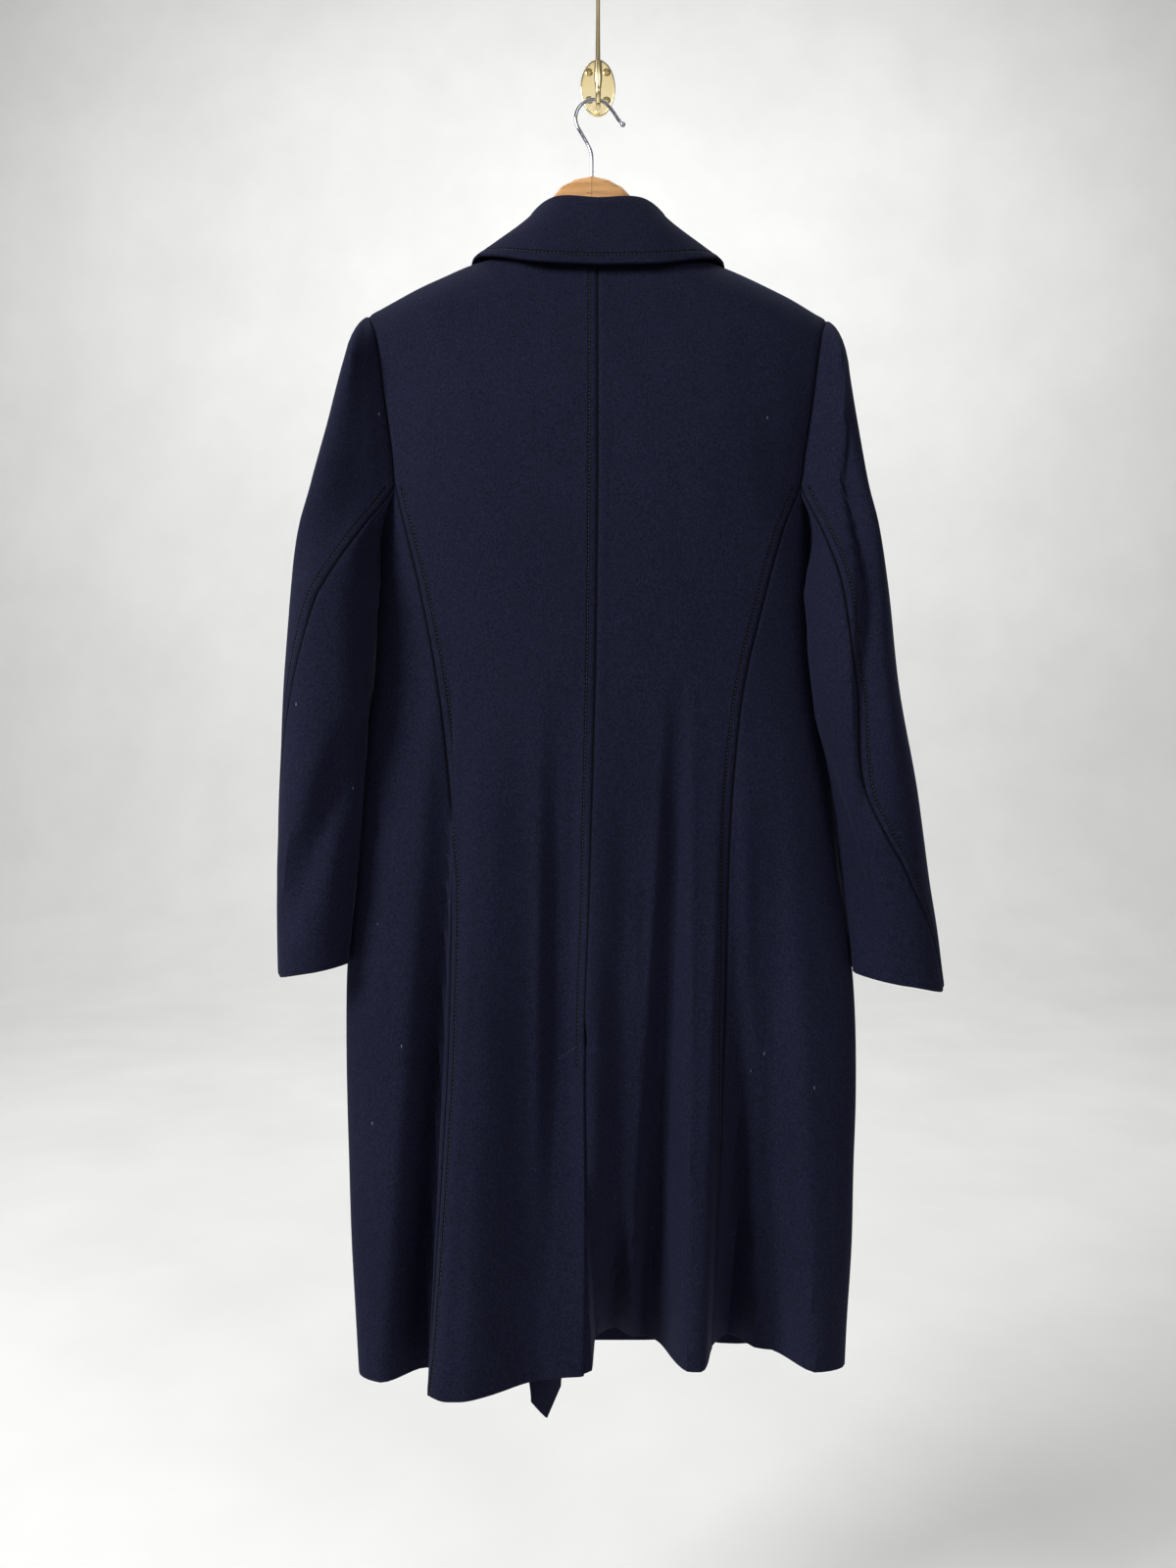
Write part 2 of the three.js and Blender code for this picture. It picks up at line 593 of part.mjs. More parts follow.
// Across the collar from the neck seam (t = 0) up the stand, over the fold and down the fall (t = 1).
function collarPoint(s, t) {
  const hand = s < 0.5 ? -1 : 1;
  const v = abs(2 * s - 1);
  const get = (column) => at(COLLAR, v, column, "v");
  const n = neckSeam(v, hand);
  const f = V(hand * get("fx"), get("fy"), get("fz"));
  const e = V(hand * get("ex"), get("ey"), get("ez"));
  for (const p of [f, e]) p.z -= TILT * p.x;
  const inward = V(f.x - e.x, f.y - e.y, 0).normalize();
  const turn = inward.clone().multiplyScalar(3.7);
  const low = V(0, 0, -5);
  const fIn = f.clone().add(turn).add(low);
  const fOut = f.clone().sub(turn).add(low);
  const middle = fOut.clone().lerp(e, 0.5).addScaledVector(inward, -3);
  const curve = new THREE.CatmullRomCurve3([n, fIn, f, fOut, middle, e], false, "centripetal");
  const p = curve.getPoint(t);
  const over = share(t, 0.5, 0.62) * share(v, 0.56, 0.64) * share(shoulderZ(p.x) - p.z, -8, -2);
  if (over > 0) p.y = max(p.y, lerp(p.y, onFront(p.x, min(p.z, shoulderZ(p.x))).y + LAYER + 1.9, over));
  return p;
}

const collar = () =>
  wall("collar", WOOL, spread(22), [0, 0.18, 0.3, 0.4, 0.5, 0.62, 0.8, 1], collarPoint, {
    edge: (s, t) => (t === 0 ? collarEdge(s) : null),
  });
function collarEdge(s) {
  const p = (t) => collarPoint(s, t);
  const [low, high] = [p(0.02), p(0.08)];
  const across = collarPoint(min(1, s + 0.01), 0).sub(collarPoint(max(0, s - 0.01), 0));
  const normal = high.sub(low).cross(across);
  return normal.setZ(0).normalize();
}

// ---------------------------------------------------------------- the sleeves

const SLEEVE_POWER = 2.35;
const INNER = 1.22; // a sleeve's half towards the body is this much thicker, as it leans there
const HEAD = { top: 11, low: 52, round: 0.55 }; // under the shoulder tip: where the head's first and last rows start
const bulge = (value) => sign(value) * abs(value) ** (2 / SLEEVE_POWER);

// How far out the body reaches at a depth and a height.
function bodyReach(hand, y, z) {
  const [left, right, middle] = ["left", "right", "side"].map((column) => at(BODY, z, column));
  const deep = abs(at(BODY, z, y < middle ? "back" : "front") - middle);
  const t = abs(y - middle) / deep;
  if (t >= 1) return 0;
  return hand * (left + right) * 0.5 + ((right - left) / 2) * (1 - t ** SQUARE) ** (1 / SQUARE);
}

// A sleeve's bare section: a point at so many degrees round it.
function sleeveSection(hand, degrees, z) {
  const table = SLEEVE[hand < 0 ? "left" : "right"];
  const get = (column) => at(table, z, column);
  let [thick, broad] = [get("thick"), get("broad")];
  for (const fold of SLEEVE_FOLDS[hand < 0 ? "left" : "right"]) {
    const q = share(z, fold.top, fold.low);
    const turn = ((degrees - lerp(fold.a0, fold.a1, q) + 540) % 360) - 180;
    const shape = (1 - smooth(abs(turn) / fold.w / (turn > 0 ? fold.skew : 1))) * sin(PI * q) ** 0.7;
    thick -= fold.deep * shape;
    broad -= fold.deep * shape;
  }
  const a = rad(degrees);
  if (cos(a) < 0) thick *= lerp(1, INNER, share(z, -440, -530));
  return V(hand * (get("x") + thick * bulge(cos(a))), get("y") - broad * bulge(sin(a)), z);
}

// Where its two long seams run; from the notches they grow out of the armhole.
function sleeveSeam(hand, which, z) {
  const arm = which === "back" ? armBack : armFront;
  if (z >= NOTCH) return arm(hand, z);
  const angle = (height) => at(SLEEVE[hand < 0 ? "left" : "right"], height, which);
  const miss = arm(hand, NOTCH).sub(sleeveSection(hand, angle(NOTCH), NOTCH));
  return sleeveSection(hand, angle(z), z).addScaledVector(miss, 1 - smooth(share(z, NOTCH, -540)));
}

// The whole sleeve: its section, drawn to those seams near them.
function sleevePoint(hand, degrees, z) {
  const p = sleeveSection(hand, degrees, z);
  for (const which of ["back", "front"]) {
    const seam = at(SLEEVE[hand < 0 ? "left" : "right"], z, which);
    const turn = ((degrees - seam + 540) % 360) - 180;
    const near = 1 - smooth(abs(turn) / 75);
    if (near > 0) p.addScaledVector(sleeveSeam(hand, which, z).sub(sleeveSection(hand, seam, z)), near);
  }
  return clear(hand, p, NOTCH);
}

// Kept clear of the body's side.
function clear(hand, p, from) {
  const gap = 2.2 * share(p.z, from, from - 30) + lerp(1.7, 4.2, share(p.y, -70, -60)) * share(p.z, -520, -600);
  const reach = bodyReach(hand, p.y, p.z) + gap;
  if (gap > 0 && hand * p.x < reach) p.x = hand * reach;
  return p;
}

function cuffZ(hand, degrees) {
  const cuff = CUFF[hand < 0 ? "left" : "right"];
  const out = cos(rad(degrees));
  return cuff.z - cuff.drop * 35 * out + CORNER * smooth(share(out, 0.72, 1));
}

// The head: from the armhole seam out and over to the first level section.
function headRow(hand, s, q) {
  const tip = tipZ(hand);
  const [top, low] = [tip - HEAD.top, tip - HEAD.low];
  const lift = 1 - abs(2 * s - 1);
  const seamZ = lerp(top, tip, sin((PI / 2) * lift));
  const from = s <= 0.5 ? armBack(hand, seamZ) : armFront(hand, seamZ);
  if (lift === 1) from.y = SHOULDER_Y;
  const to = upperLevel(hand, s, low);
  const round = HEAD.round * sin(PI * s) ** 0.8;
  const side = lerp(q, sin((PI / 2) * q), round);
  const down = lerp(q, 1 - cos((PI / 2) * q), round);
  const p = V(lerp(from.x, to.x, side), lerp(from.y, to.y, side), lerp(from.z, to.z, down));
  const z = lerp(top, low, q);
  const arm = s < 0.5 ? armBack : armFront;
  const miss = arm(hand, z).sub(arm(hand, top).lerp(arm(hand, low), q));
  return p.addScaledVector(miss, 1 - smooth(share(min(s, 1 - s), 0, 0.3)));
}

function upperLevel(hand, s, z) {
  const table = SLEEVE[hand < 0 ? "left" : "right"];
  return sleevePoint(hand, lerp(at(table, z, "back"), at(table, z, "front") - 360, s), z);
}

// Rows of the upper sleeve, told like those of the body above the notch and from 0 to 1 below it.
const ARM_LEVELS = [...spread(4, 0, 0.32).slice(1), ...spread(6, 0.32, 1).slice(1)];
const HEAD_ROWS = [-5, -4, -3, -2, -1, 0];
const UPPER_ROWS = rows([...HEAD_ROWS, ...ARM_LEVELS]);

// The angle at which a seam crosses a row, whose height changes round the sleeve.
function seamDegrees(hand, which, row) {
  let degrees = 90;
  for (let i = 0; i < 8; i++)
    degrees = at(SLEEVE[hand < 0 ? "left" : "right"], lerp(NOTCH, cuffZ(hand, degrees), row), which);
  return degrees;
}

function upperPoint(hand, s, t) {
  const row = UPPER_ROWS.of(t);
  const tip = tipZ(hand);
  const span = lerp(0.004, 0.996, s);
  let p;
  if (row < -3) p = headRow(hand, span, (tip - rowHeight(row, tip) - HEAD.top) / (HEAD.low - HEAD.top));
  else if (row < 0) p = upperLevel(hand, span, rowHeight(row, tip));
  else {
    const degrees = lerp(seamDegrees(hand, "back", row), seamDegrees(hand, "front", row) - 360, span);
    p = sleevePoint(hand, degrees, lerp(NOTCH, cuffZ(hand, degrees), row));
  }
  return armOffset(hand, p, s, row);
}

// Moves a sleeve's first row off the armhole by the seam's gap.
function armOffset(hand, p, s, row) {
  const near = row < 0 ? max(1 - share(s, 0, 0.1), 1 - share(s, 1, 0.9), row <= -5 + 1e-9 ? 1 : 0) : 0;
  p.x += hand * (SEAM + 0.15) * near;
  return p;
}

function upperSleeve(name, hand) {
  const point = (s, t) => upperPoint(hand, s, t);
  const edge = (s, t, p) => (t === 0 || ((s === 0 || s === 1) && UPPER_ROWS.of(t) <= 1e-6) ? armNormal(p) : null);
  return wall(`sleeve_${name}_upper`, WOOL, even(11, point, 0.75), UPPER_ROWS.shares, point, {
    flip: hand < 0,
    edge,
  });
}

// The under sleeve hangs from the armhole's lower part, on the body's side.
const UNDER_ROWS = rows([0, ...ARM_LEVELS]);
function underPoint(hand, s, t) {
  const row = UNDER_ROWS.of(t);
  const table = SLEEVE[hand < 0 ? "left" : "right"];
  const arm = armUnder(hand, s);
  const span = lerp(0.0045, 0.9955, s);
  const degrees = lerp(seamDegrees(hand, "back", row), seamDegrees(hand, "front", row), span);
  const level = lerp(NOTCH, cuffZ(hand, degrees), row);
  const z = level - (NOTCH - arm.z) * (1 - share(row, 0, 0.36));
  const p = sleevePoint(hand, degrees, z);
  const miss = arm.clone().sub(sleevePoint(hand, lerp(at(table, NOTCH, "back"), at(table, NOTCH, "front"), s), arm.z));
  p.addScaledVector(miss, 1 - smooth(share(row, 0, 0.2)));
  p.x += hand * (SEAM + 0.15) * (1 - share(row, 0, 0.05));
  return clear(hand, p, arm.z);
}

function underSleeve(name, hand) {
  const point = (s, t) => underPoint(hand, s, t);
  const edge = (s, t, p) => (t === 0 ? armNormal(p) : null);
  return wall(`sleeve_${name}_under`, WOOL, spread(12), UNDER_ROWS.shares, point, { flip: hand > 0, edge });
}

// ---------------------------------------------------------------- the belt

const BELT = { wide: 45, thick: 2.8, z: -640, lift: 3.1 + 0.5 };

// From each side seam round to the knot at the middle of the front.
function beltBand(name, hand) {
  const point = (s, t) => {
    const from = hand * (SIDE + rad(6));
    const z = BELT.z + lerp(BELT.wide / 2, -BELT.wide / 2, t) * lerp(1, 0.55, share(s, 0.8, 1));
    const to = angleOf(hand * 15, z, true);
    const angle = lerp(from, to, s);
    return body(angle, z).addScaledVector(surfaceNormal(angle, z), BELT.lift);
  };
  return wall(`belt_${name}`, WOOL, spread(8), spread(1), point, { thick: BELT.thick, flip: hand < 0 });
}

// A loose end: a strip that hangs down the front from x0 to x1, so far off it, with a pointed tip. Below
// the hem it turns edge on.
function beltTail(name, { x0, x1, top, low, lift, turn }) {
  const point = (s, t) => {
    const z = lerp(top, low, t);
    const width = lerp(30, BELT.wide, share(t, 0, 0.1));
    const along = (s - 0.5) * width;
    const angle = rad(turn) * smooth(share(z, -1238, low));
    const x = lerp(x0, x1, smooth(t)) + along * cos(angle);
    const level = max(z, HEM_FRONT);
    const p = V(x, onFront(x, level).y + lift + along * sin(angle), z);
    p.z -= 24 * share(t, 0.94, 1) * (1 - abs(2 * s - 1));
    return p;
  };
  const down = [...spread(9, 0, 0.94), 1];
  return wall(`belt_tail_${name}`, WOOL, spread(2), down, point, { thick: BELT.thick, flip: true });
}

// The knot: a pillow of cloth with the loop's slanting edges drawn in.
function knot() {
  const [across, round] = [12, 10];
  const size = V(25, 8, 21);
  const points = [];
  const faces = [];
  const pole = (end) => V(end * size.x, 0, 0);
  const power = 0.72;
  const form = (value) => sign(value) * abs(value) ** power;
  for (let i = 1; i < across; i++) {
    const a = (PI * i) / across;
    for (let j = 0; j < round; j++) {
      const b = (2 * PI * j) / round;
      const x = -cos(a);
      const waist = 1 - 0.16 * Math.exp(-(((x * size.x + 0.35 * size.z * sin(b)) / 6 - 1.3) ** 2));
      points.push(V(size.x * form(x), size.y * form(sin(a)) * form(cos(b)) * waist, size.z * form(sin(a)) * form(sin(b)) * waist));
    }
  }
  const first = points.push(pole(-1)) - 1;
  const last = points.push(pole(1)) - 1;
  for (let i = 0; i < across - 2; i++)
    for (let j = 0; j < round; j++) {
      const k = (j + 1) % round;
      const [a, b, c, d] = [i * round + j, i * round + k, (i + 1) * round + k, (i + 1) * round + j];
      faces.push(a, b, c, a, c, d);
    }
  for (let j = 0; j < round; j++) {
    const k = (j + 1) % round;
    faces.push(first, k, j, last, (across - 2) * round + j, (across - 2) * round + k);
  }
  const geometry = outward(points, faces);
  geometry.translate(0, body(PI, BELT.z).y + BELT.lift - 0.35 + size.y, BELT.z);
  return solid("belt_knot", geometry, WOOL);
}

// ---------------------------------------------------------------- the hanger

const HANGER_MIDDLE = -6.3;
const HANGER_Y = SHOULDER_Y - 1.5;
const WIRE = 3.4;

// Rings of points, one after another, closed at both ends.
function rings(list) {
  const count = list[0].length;
  const points = list.flat();
  const faces = [];
  for (let i = 0; i + 1 < list.length; i++)
    for (let j = 0; j < count; j++) {
      const k = (j + 1) % count;
      const [a, b, c, d] = [i * count + j, i * count + k, (i + 1) * count + k, (i + 1) * count + j];
      faces.push(a, b, c, a, c, d);
    }
  const cap = (ring, start, turned) => {
    const middle = ring.reduce((sum, p) => sum.add(p), V(0, 0, 0)).divideScalar(count);
    const m = points.push(middle) - 1;
    for (let j = 0; j < count; j++) {
      const k = (j + 1) % count;
      faces.push(...(turned ? [m, start + j, start + k] : [m, start + k, start + j]));
    }
  };
  cap(list[0], 0, false);
  cap(list[list.length - 1], (list.length - 1) * count, true);
  return outward(points, faces);
}

// Turns the faces round where they enclose a negative volume.
function outward(points, faces) {
  let volume = 0;
  for (let i = 0; i < faces.length; i += 3) {
    const [a, b, c] = [0, 1, 2].map((k) => points[faces[i + k]]);
    volume += a.dot(b.clone().cross(c));
  }
  if (volume < 0) faces.reverse();
  return new THREE.BufferGeometry().setFromPoints(points).setIndex(faces);
}

function toManifold(geometry) {
  const plain = mergeVertices(geometry.clone().deleteAttribute("normal").deleteAttribute("uv"), 1e-6);
  return new wasm.Manifold(
    new wasm.Mesh({
      numProp: 3,
      vertProperties: new Float32Array(plain.attributes.position.array),
      triVerts: new Uint32Array(plain.index.array),
    }),
  );
}

function fromManifold(manifold) {
  const mesh = manifold.getMesh();
  const geometry = new THREE.BufferGeometry();
  geometry.setAttribute("position", new THREE.BufferAttribute(mesh.vertProperties, 3));
  return geometry.setIndex(new THREE.BufferAttribute(mesh.triVerts, 1));
}

function hangerHalf(name, hand) {
  const list = HANGER.map(({ x, top, deep, thick }) => {
    const px = hand * x + HANGER_MIDDLE * (1 - share(x, 30, 90));
    return Array.from({ length: 10 }, (_, j) => {
      const a = (2 * PI * j) / 10;
      const [c, s] = [cos(a), sin(a)].map((value) => sign(value) * abs(value) ** 0.94);
      return V(px, HANGER_Y + (thick / 2) * s, top - deep / 2 + (deep / 2) * c - TILT * px);
    });
  });
  const wood = toManifold(rings(hand > 0 ? list : list.reverse()));
  const bore = wasm.Manifold.cylinder(50, WIRE / 2 + 0.3, WIRE / 2 + 0.3, 16).translate(HANGER_MIDDLE, HANGER_Y, -146);
  return solid(`hanger_${name}`, fromManifold(wood.subtract(bore)), BEECH);
}

// A round bar along a path, as thick at each point as its table says.
function bar(name, path, thickness, material, steps, round = 10) {
  const curve = new THREE.CatmullRomCurve3(path, false, "centripetal");
  const frames = curve.computeFrenetFrames(steps, false);
  const list = spread(steps).map((t, i) => {
    const p = curve.getPointAt(t);
    const radius = thickness(t) / 2;
    return Array.from({ length: round }, (_, j) => {
      const a = (2 * PI * j) / round;
      return p
        .clone()
        .addScaledVector(frames.normals[i], radius * cos(a))
        .addScaledVector(frames.binormals[i], radius * sin(a));
    });
  });
  return solid(name, rings(list), material);
}

const HOOK_WIRE = table("x z", [
  [HANGER_MIDDLE, -144],
  [HANGER_MIDDLE, -107],
  [-6.6, -88],
  [-8.5, -81],
  [-15, -69],
  [-20.6, -59],
  [-22.2, -51],
  [-19.6, -42],
  [-14, -36.2],
  [-5, -33.2],
  [2, -33.8],
  [8.6, -38],
  [15, -45.3],
  [20.9, -54.2],
  [26, -59.5],
]);

function hangerWire() {
  const path = HOOK_WIRE.map(({ x, z }) => V(x, HANGER_Y, z));
  const length = new THREE.CatmullRomCurve3(path, false, "centripetal").getLength();
  const ball = (t) => {
    const left = (1 - t) * length;
    if (left > 4.6) return WIRE;
    return max(0.8, 2 * sqrt(max(0, 2.6 ** 2 - (left - 2.3) ** 2)));
  };
  return bar("hanger_hook", path, ball, CHROME, 32, 8);
}

// ---------------------------------------------------------------- the wall hook

const PLATE = { wide: 35.5, high: 58, thick: 2.6 };

function plate() {
  const levels = table("y size", [
    [0, 1],
    [-1.6, 1],
    [-2.3, 0.97],
    [-PLATE.thick, 0.9],
  ]);
  const list = levels.map(({ y, size }) =>
    Array.from({ length: 24 }, (_, j) => {
      const a = (2 * PI * j) / 24;
      const rim = (half) => half - (1 - size) * 14;
      return V(rim(PLATE.wide / 2) * cos(a), y, rim(PLATE.high / 2) * sin(a));
    }),
  );
  return toManifold(rings(list));
}

// The lower prong, which carries the hanger, and the long upper one with its ball.
const LOWER_PRONG = [V(0, -1, -19), V(0, -12, -28), V(0, -27, -36.6), V(0, -38.5, -38.6), V(0, -45.5, -32), V(0, -48, -19), V(0, -48, 0)];
const UPPER_PRONG = [V(0, -1, 15), V(0, -8, 28), V(0, -22, 52), V(0, -38, 77), V(0, -50, 98)];

function bulb(t) {
  if (t < 0.66) return 5.2;
  const q = (t - 0.66) / 0.34;
  return q < 0.94 ? 5.2 + 2.8 * sin((PI / 2) * min(1, q / 0.45)) * (q < 0.5 ? 1 : cos((q - 0.5) * 1.6)) : 4 * sqrt(max(0.02, (1 - q) / 0.06)) * 1.1;
}
function wallHook() {
  const lower = bar("", LOWER_PRONG, bulb, BRASS, 18, 8).geometry;
  const rod = (t) => (t < 0.93 ? lerp(5.2, 3.9, min(1, t * 2)) : 2 * sqrt(max(0.3, 4.2 ** 2 - (((t - 0.965) / 0.035) * 4.1) ** 2)));
  const upper = bar("", UPPER_PRONG, rod, BRASS, 14, 8).geometry;
  const holes = SCREWS.map(({ x, z }) =>
    wasm.Manifold.cylinder(8, 2.4, 2.4, 10).rotate([90, 0, 0]).translate(x, 2, z),
  );
  const sinks = SCREWS.map(({ x, z }) =>
    wasm.Manifold.cylinder(1.6, 4.7, 4.7, 14).rotate([90, 0, 0]).translate(x, -1.4, z),
  );
  let hook = plate().add(toManifold(lower)).add(toManifold(upper));
  const wallSide = wasm.Manifold.cube([80, 20, 200], true).translate(0, 10, 0);
  for (const cut of [...holes, ...sinks, wallSide]) hook = hook.subtract(cut);
  return solid("wall_hook", fromManifold(hook), BRASS);
}

const SCREWS = table("name x z", [
  ["upper_left", -9, 15.3],
  ["upper_right", 9, 15.3],
  ["lower_left", -8.8, -13],
  ["lower_right", 8.8, -13.4],
]);

// A countersunk screw with a cross recess, its axis square to the wall.
function screw({ name, x, z }) {
  const { cylinder, cube } = wasm.Manifold;
  let shape = cylinder(1.5, 2.1, 2.1, 10).translate(0, 0, 0.2);
  shape = shape.add(cylinder(0.7, 4.35, 4.35, 14).translate(0, 0, 1.7));
  shape = shape.add(cylinder(1.3, 4.35, 2.6, 14).translate(0, 0, 2.4));
  for (const turn of [20, 110]) shape = shape.subtract(cube([4.4, 0.9, 2.6], true).rotate([0, 0, turn]).translate(0, 0, 3.7));
  return solid(`screw_${name}`, fromManifold(shape.rotate([90, 0, 0]).translate(x, 0, z)), BRASS);
}

// ---------------------------------------------------------------- all of it

const LONG_TAIL = { x0: -14, x1: -53, top: -660.6, low: -1318, lift: 10.6, turn: 52 };
const SHORT_TAIL = { x0: 12, x1: 30, top: -661.4, low: -1105, lift: 3.7, turn: 0 };

const group = new THREE.Group();
group.add(wallHook(), ...SCREWS.map(screw), hangerWire(), knot(), collar());
for (const [name, hand] of Object.entries(HANDS)) {
  group.add(hangerHalf(name, hand), back(name), side(name, hand), front(name, hand), lapel(name, hand));
  group.add(upperSleeve(name, hand), underSleeve(name, hand), beltBand(name, hand));
}
group.add(beltTail("long", LONG_TAIL), beltTail("short", SHORT_TAIL));

export default group;
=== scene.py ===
# %% [markdown]
# # A belted wool coat on a wooden hanger
#
# This lesson dresses the plain CAD solids of a hanging coat: every cut piece of cloth is made again with
# rolled seams, rows of topstitching and soft folds, and the hanger, its wire and the brass wall hook are
# made again finely. Everything is in the CAD model's own frame: the wall is the plane y = 0, the coat
# hangs in front of it on the -Y side with its back turned outward, and +Z is up.

import math

import bmesh
import bpy
import numpy as np
from mathutils import Matrix, Vector


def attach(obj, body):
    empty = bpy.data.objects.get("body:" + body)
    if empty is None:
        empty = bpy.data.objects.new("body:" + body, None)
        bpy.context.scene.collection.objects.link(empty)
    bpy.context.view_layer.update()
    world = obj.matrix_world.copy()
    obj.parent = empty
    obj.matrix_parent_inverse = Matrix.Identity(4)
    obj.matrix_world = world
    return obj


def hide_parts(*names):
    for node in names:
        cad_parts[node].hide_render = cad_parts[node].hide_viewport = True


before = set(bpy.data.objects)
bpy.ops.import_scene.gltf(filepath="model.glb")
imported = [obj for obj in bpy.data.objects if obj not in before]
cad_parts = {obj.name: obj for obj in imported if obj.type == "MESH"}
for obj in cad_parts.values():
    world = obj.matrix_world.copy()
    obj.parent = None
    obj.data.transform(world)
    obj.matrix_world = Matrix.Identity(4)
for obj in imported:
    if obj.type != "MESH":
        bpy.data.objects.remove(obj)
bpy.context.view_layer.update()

# %% [markdown]
# ## The camera
#
# The camera stands square to the wall, level with the middle of the coat, 1.2 metres away from the wall.
# The long side of the render is its height, and its lens is given for a sensor 36 mm high.

# %% The camera
EYE = (-0.010, -1.200, -0.708)
LENS = 27.05

eye = bpy.data.cameras.new("eye")
eye.lens = LENS
eye.sensor_width = 36
eye_object = bpy.data.objects.new("eye", eye)
eye_object.location = EYE
eye_object.rotation_euler = (math.radians(90), 0, 0)
bpy.context.collection.objects.link(eye_object)
bpy.context.scene.camera = eye_object

# %% [markdown]
# ## Tables and small helpers
#
# The shapes are told by short tables of real sizes in millimetres. A table could be made into a curve
# object, but a function that reads a smooth curve through its rows can be asked for thousands of points
# at once, which a finely folded cloth needs.


# %% Tables
def table(columns, *rows):
    names = columns.split()
    return {name: np.array([row[i] for row in rows], float) for i, name in enumerate(names)}


def at(rows, key, column, by="z"):
    """A column of a table at a height, or at any other key, through its rows as one smooth curve."""
    way = -1.0 if rows[by][0] > rows[by][-1] else 1.0
    keys, values = rows[by] * way, rows[column]
    ask = np.clip(np.asarray(key, float) * way, keys[0], keys[-1])
    before = np.maximum(np.arange(len(keys)) - 1, 0)
    after = np.minimum(np.arange(len(keys)) + 1, len(keys) - 1)
    slopes = (values[after] - values[before]) / (keys[after] - keys[before])
    i = np.clip(np.searchsorted(keys, ask, side="right") - 1, 0, len(keys) - 2)
    run = keys[i + 1] - keys[i]
    t = (ask - keys[i]) / run
    return (
        (2 * t**3 - 3 * t**2 + 1) * values[i]
        + (t**3 - 2 * t**2 + t) * slopes[i] * run
        + (3 * t**2 - 2 * t**3) * values[i + 1]
        + (t**3 - t**2) * slopes[i + 1] * run
    )


def share(x, start, end):
    return np.clip((np.asarray(x, float) - start) / (end - start), 0, 1)


def lerp(a, b, t):
    return a + (b - a) * t


def smooth(t):
    t = np.clip(t, 0, 1)
    return t * t * (3 - 2 * t)


def points(x, y, z):
    return np.stack(np.broadcast_arrays(*(np.asarray(v, float) for v in (x, y, z))), -1)


def unit(vectors):
    return vectors / np.maximum(np.linalg.norm(vectors, axis=-1, keepdims=True), 1e-12)


def bump(distance, width):
    return np.exp(-((distance / width) ** 2))


# %% [markdown]
# ## The coat's body
#
# A coat's body is one surface that its panels are cut from, so all panels ask the same function for their
# points: level sections as rounded boxes, set between a back and a front, with long soft folds that grow
# towards the hem. The sections could be sculpted instead, but then neighbours would not meet in one line.

# %% Sizes of the body
CLOTH = 2.3  # coating with its interlining
GAP = -0.06  # neighbouring pieces are pressed together by this much at a seam
LAYER = 3.3  # from one layer's face to the next one's
HEM_BACK, HEM_FRONT = -1236, -1257
UNDERARM, NOTCH = -465, -423
TIP = (226, -251)  # where shoulder seam and armhole meet
NECK = (74, -183)  # where shoulder seam and collar meet
TILT = 0.012  # the hanger hangs a little lower on the right
ARCH = 5.5  # how far the shoulder seam arches over a straight line
SHOULDER_Y = -37
SQUARE = 2.6
SIDE = math.radians(93)

BODY = table(
    "z left right side back front",
    (-180, -250, 250, -36, -74, -19),
    (-250, -243, 246, -40, -88, -18),
    (-345, -222, 222, -46, -102, -17),
    (-425, -208, 206, -50, -107, -17),
    (-524, -212, 205, -54, -108, -20),
    (-616, -217, 208, -59, -106, -28),
    (-708, -227, 220, -66, -110, -30),
    (-800, -232, 229, -74, -118, -28),
    (-890, -238, 241, -82, -126, -26),
    (-1000, -236, 241, -90, -136, -26),
    (-1120, -231, 236, -97, -146, -28),
    (-1260, -222, 228, -102, -153, -30),
)
SEAMS = table(
    "z left middle right",
    (-240, -226, -1, 226),
    (-254, -223.5, -1, 223.5),
    (-278, -213.5, -1, 214),
    (-345, -203.5, -1, 204),
    (-395, -196.5, -1, 196),
    (-423, -194, -1, 192),
    (-469, -182, -1.5, 174),
    (-524, -168, -2, 158),
    (-616, -150, -3.5, 136),
    (-708, -141, -6, 125.5),
    (-800, -136, -9, 121),
    (-950, -134, -14, 118),
    (-1100, -138, -13, 115),
    (-1260, -146, -13, 112),
)
FRONT_ARMHOLE = table("z x", (-240, 226), (-254, 223.5), (-278, 210), (-320, 196), (-370, 189), (-423, 194))
FRONT_EDGE = table(
    "z x", (-183, 74), (-200, 71), (-226, 64), (-505, 8), (-525, -24), (-550, -50), (-600, -52), (-1260, -50)
)

# Long folds run from x0 at their top to x1 at the hem, half as wide as w0 and w1 (skew times that on the
# right), with a flat share in the middle. out moves the cloth towards the wall at the hem and lean to the
# right; fade 1 dies away.
FOLD_COLUMNS = "top x0 x1 w0 w1 flat out lean power fade skew"
BACK_FOLDS = table(
    FOLD_COLUMNS,
    (-600, -137, -154, 20, 46, 0.05, 46, 6, 1, 0, 0.25),
    (-620, -100, -118, 28, 60, 0.1, -35, -10, 1.1, 0, 1.15),
    (-560, -30, -36, 26, 24, 0.2, 13, 0, 1, 1, 1),
    (-1060, -7, 0, 4, 5, 0.35, 62, 0, 1.5, 0, 9),
    (-640, 36, 26, 30, 44, 0.2, 35, 0, 1.4, 0, 1),
    (-600, 76, 52, 14, 30, 0.1, 54, 0, 1.15, 0, 1),
    (-640, 101, 88, 18, 24, 0.2, 8, 0, 1, 0, 1),
    (-640, 123, 121, 12, 30, 0.2, 37, -5, 1.3, 0, 1),
    (-700, 158, 146, 24, 52, 0.2, 50, 0, 1.3, 0, 1),
)
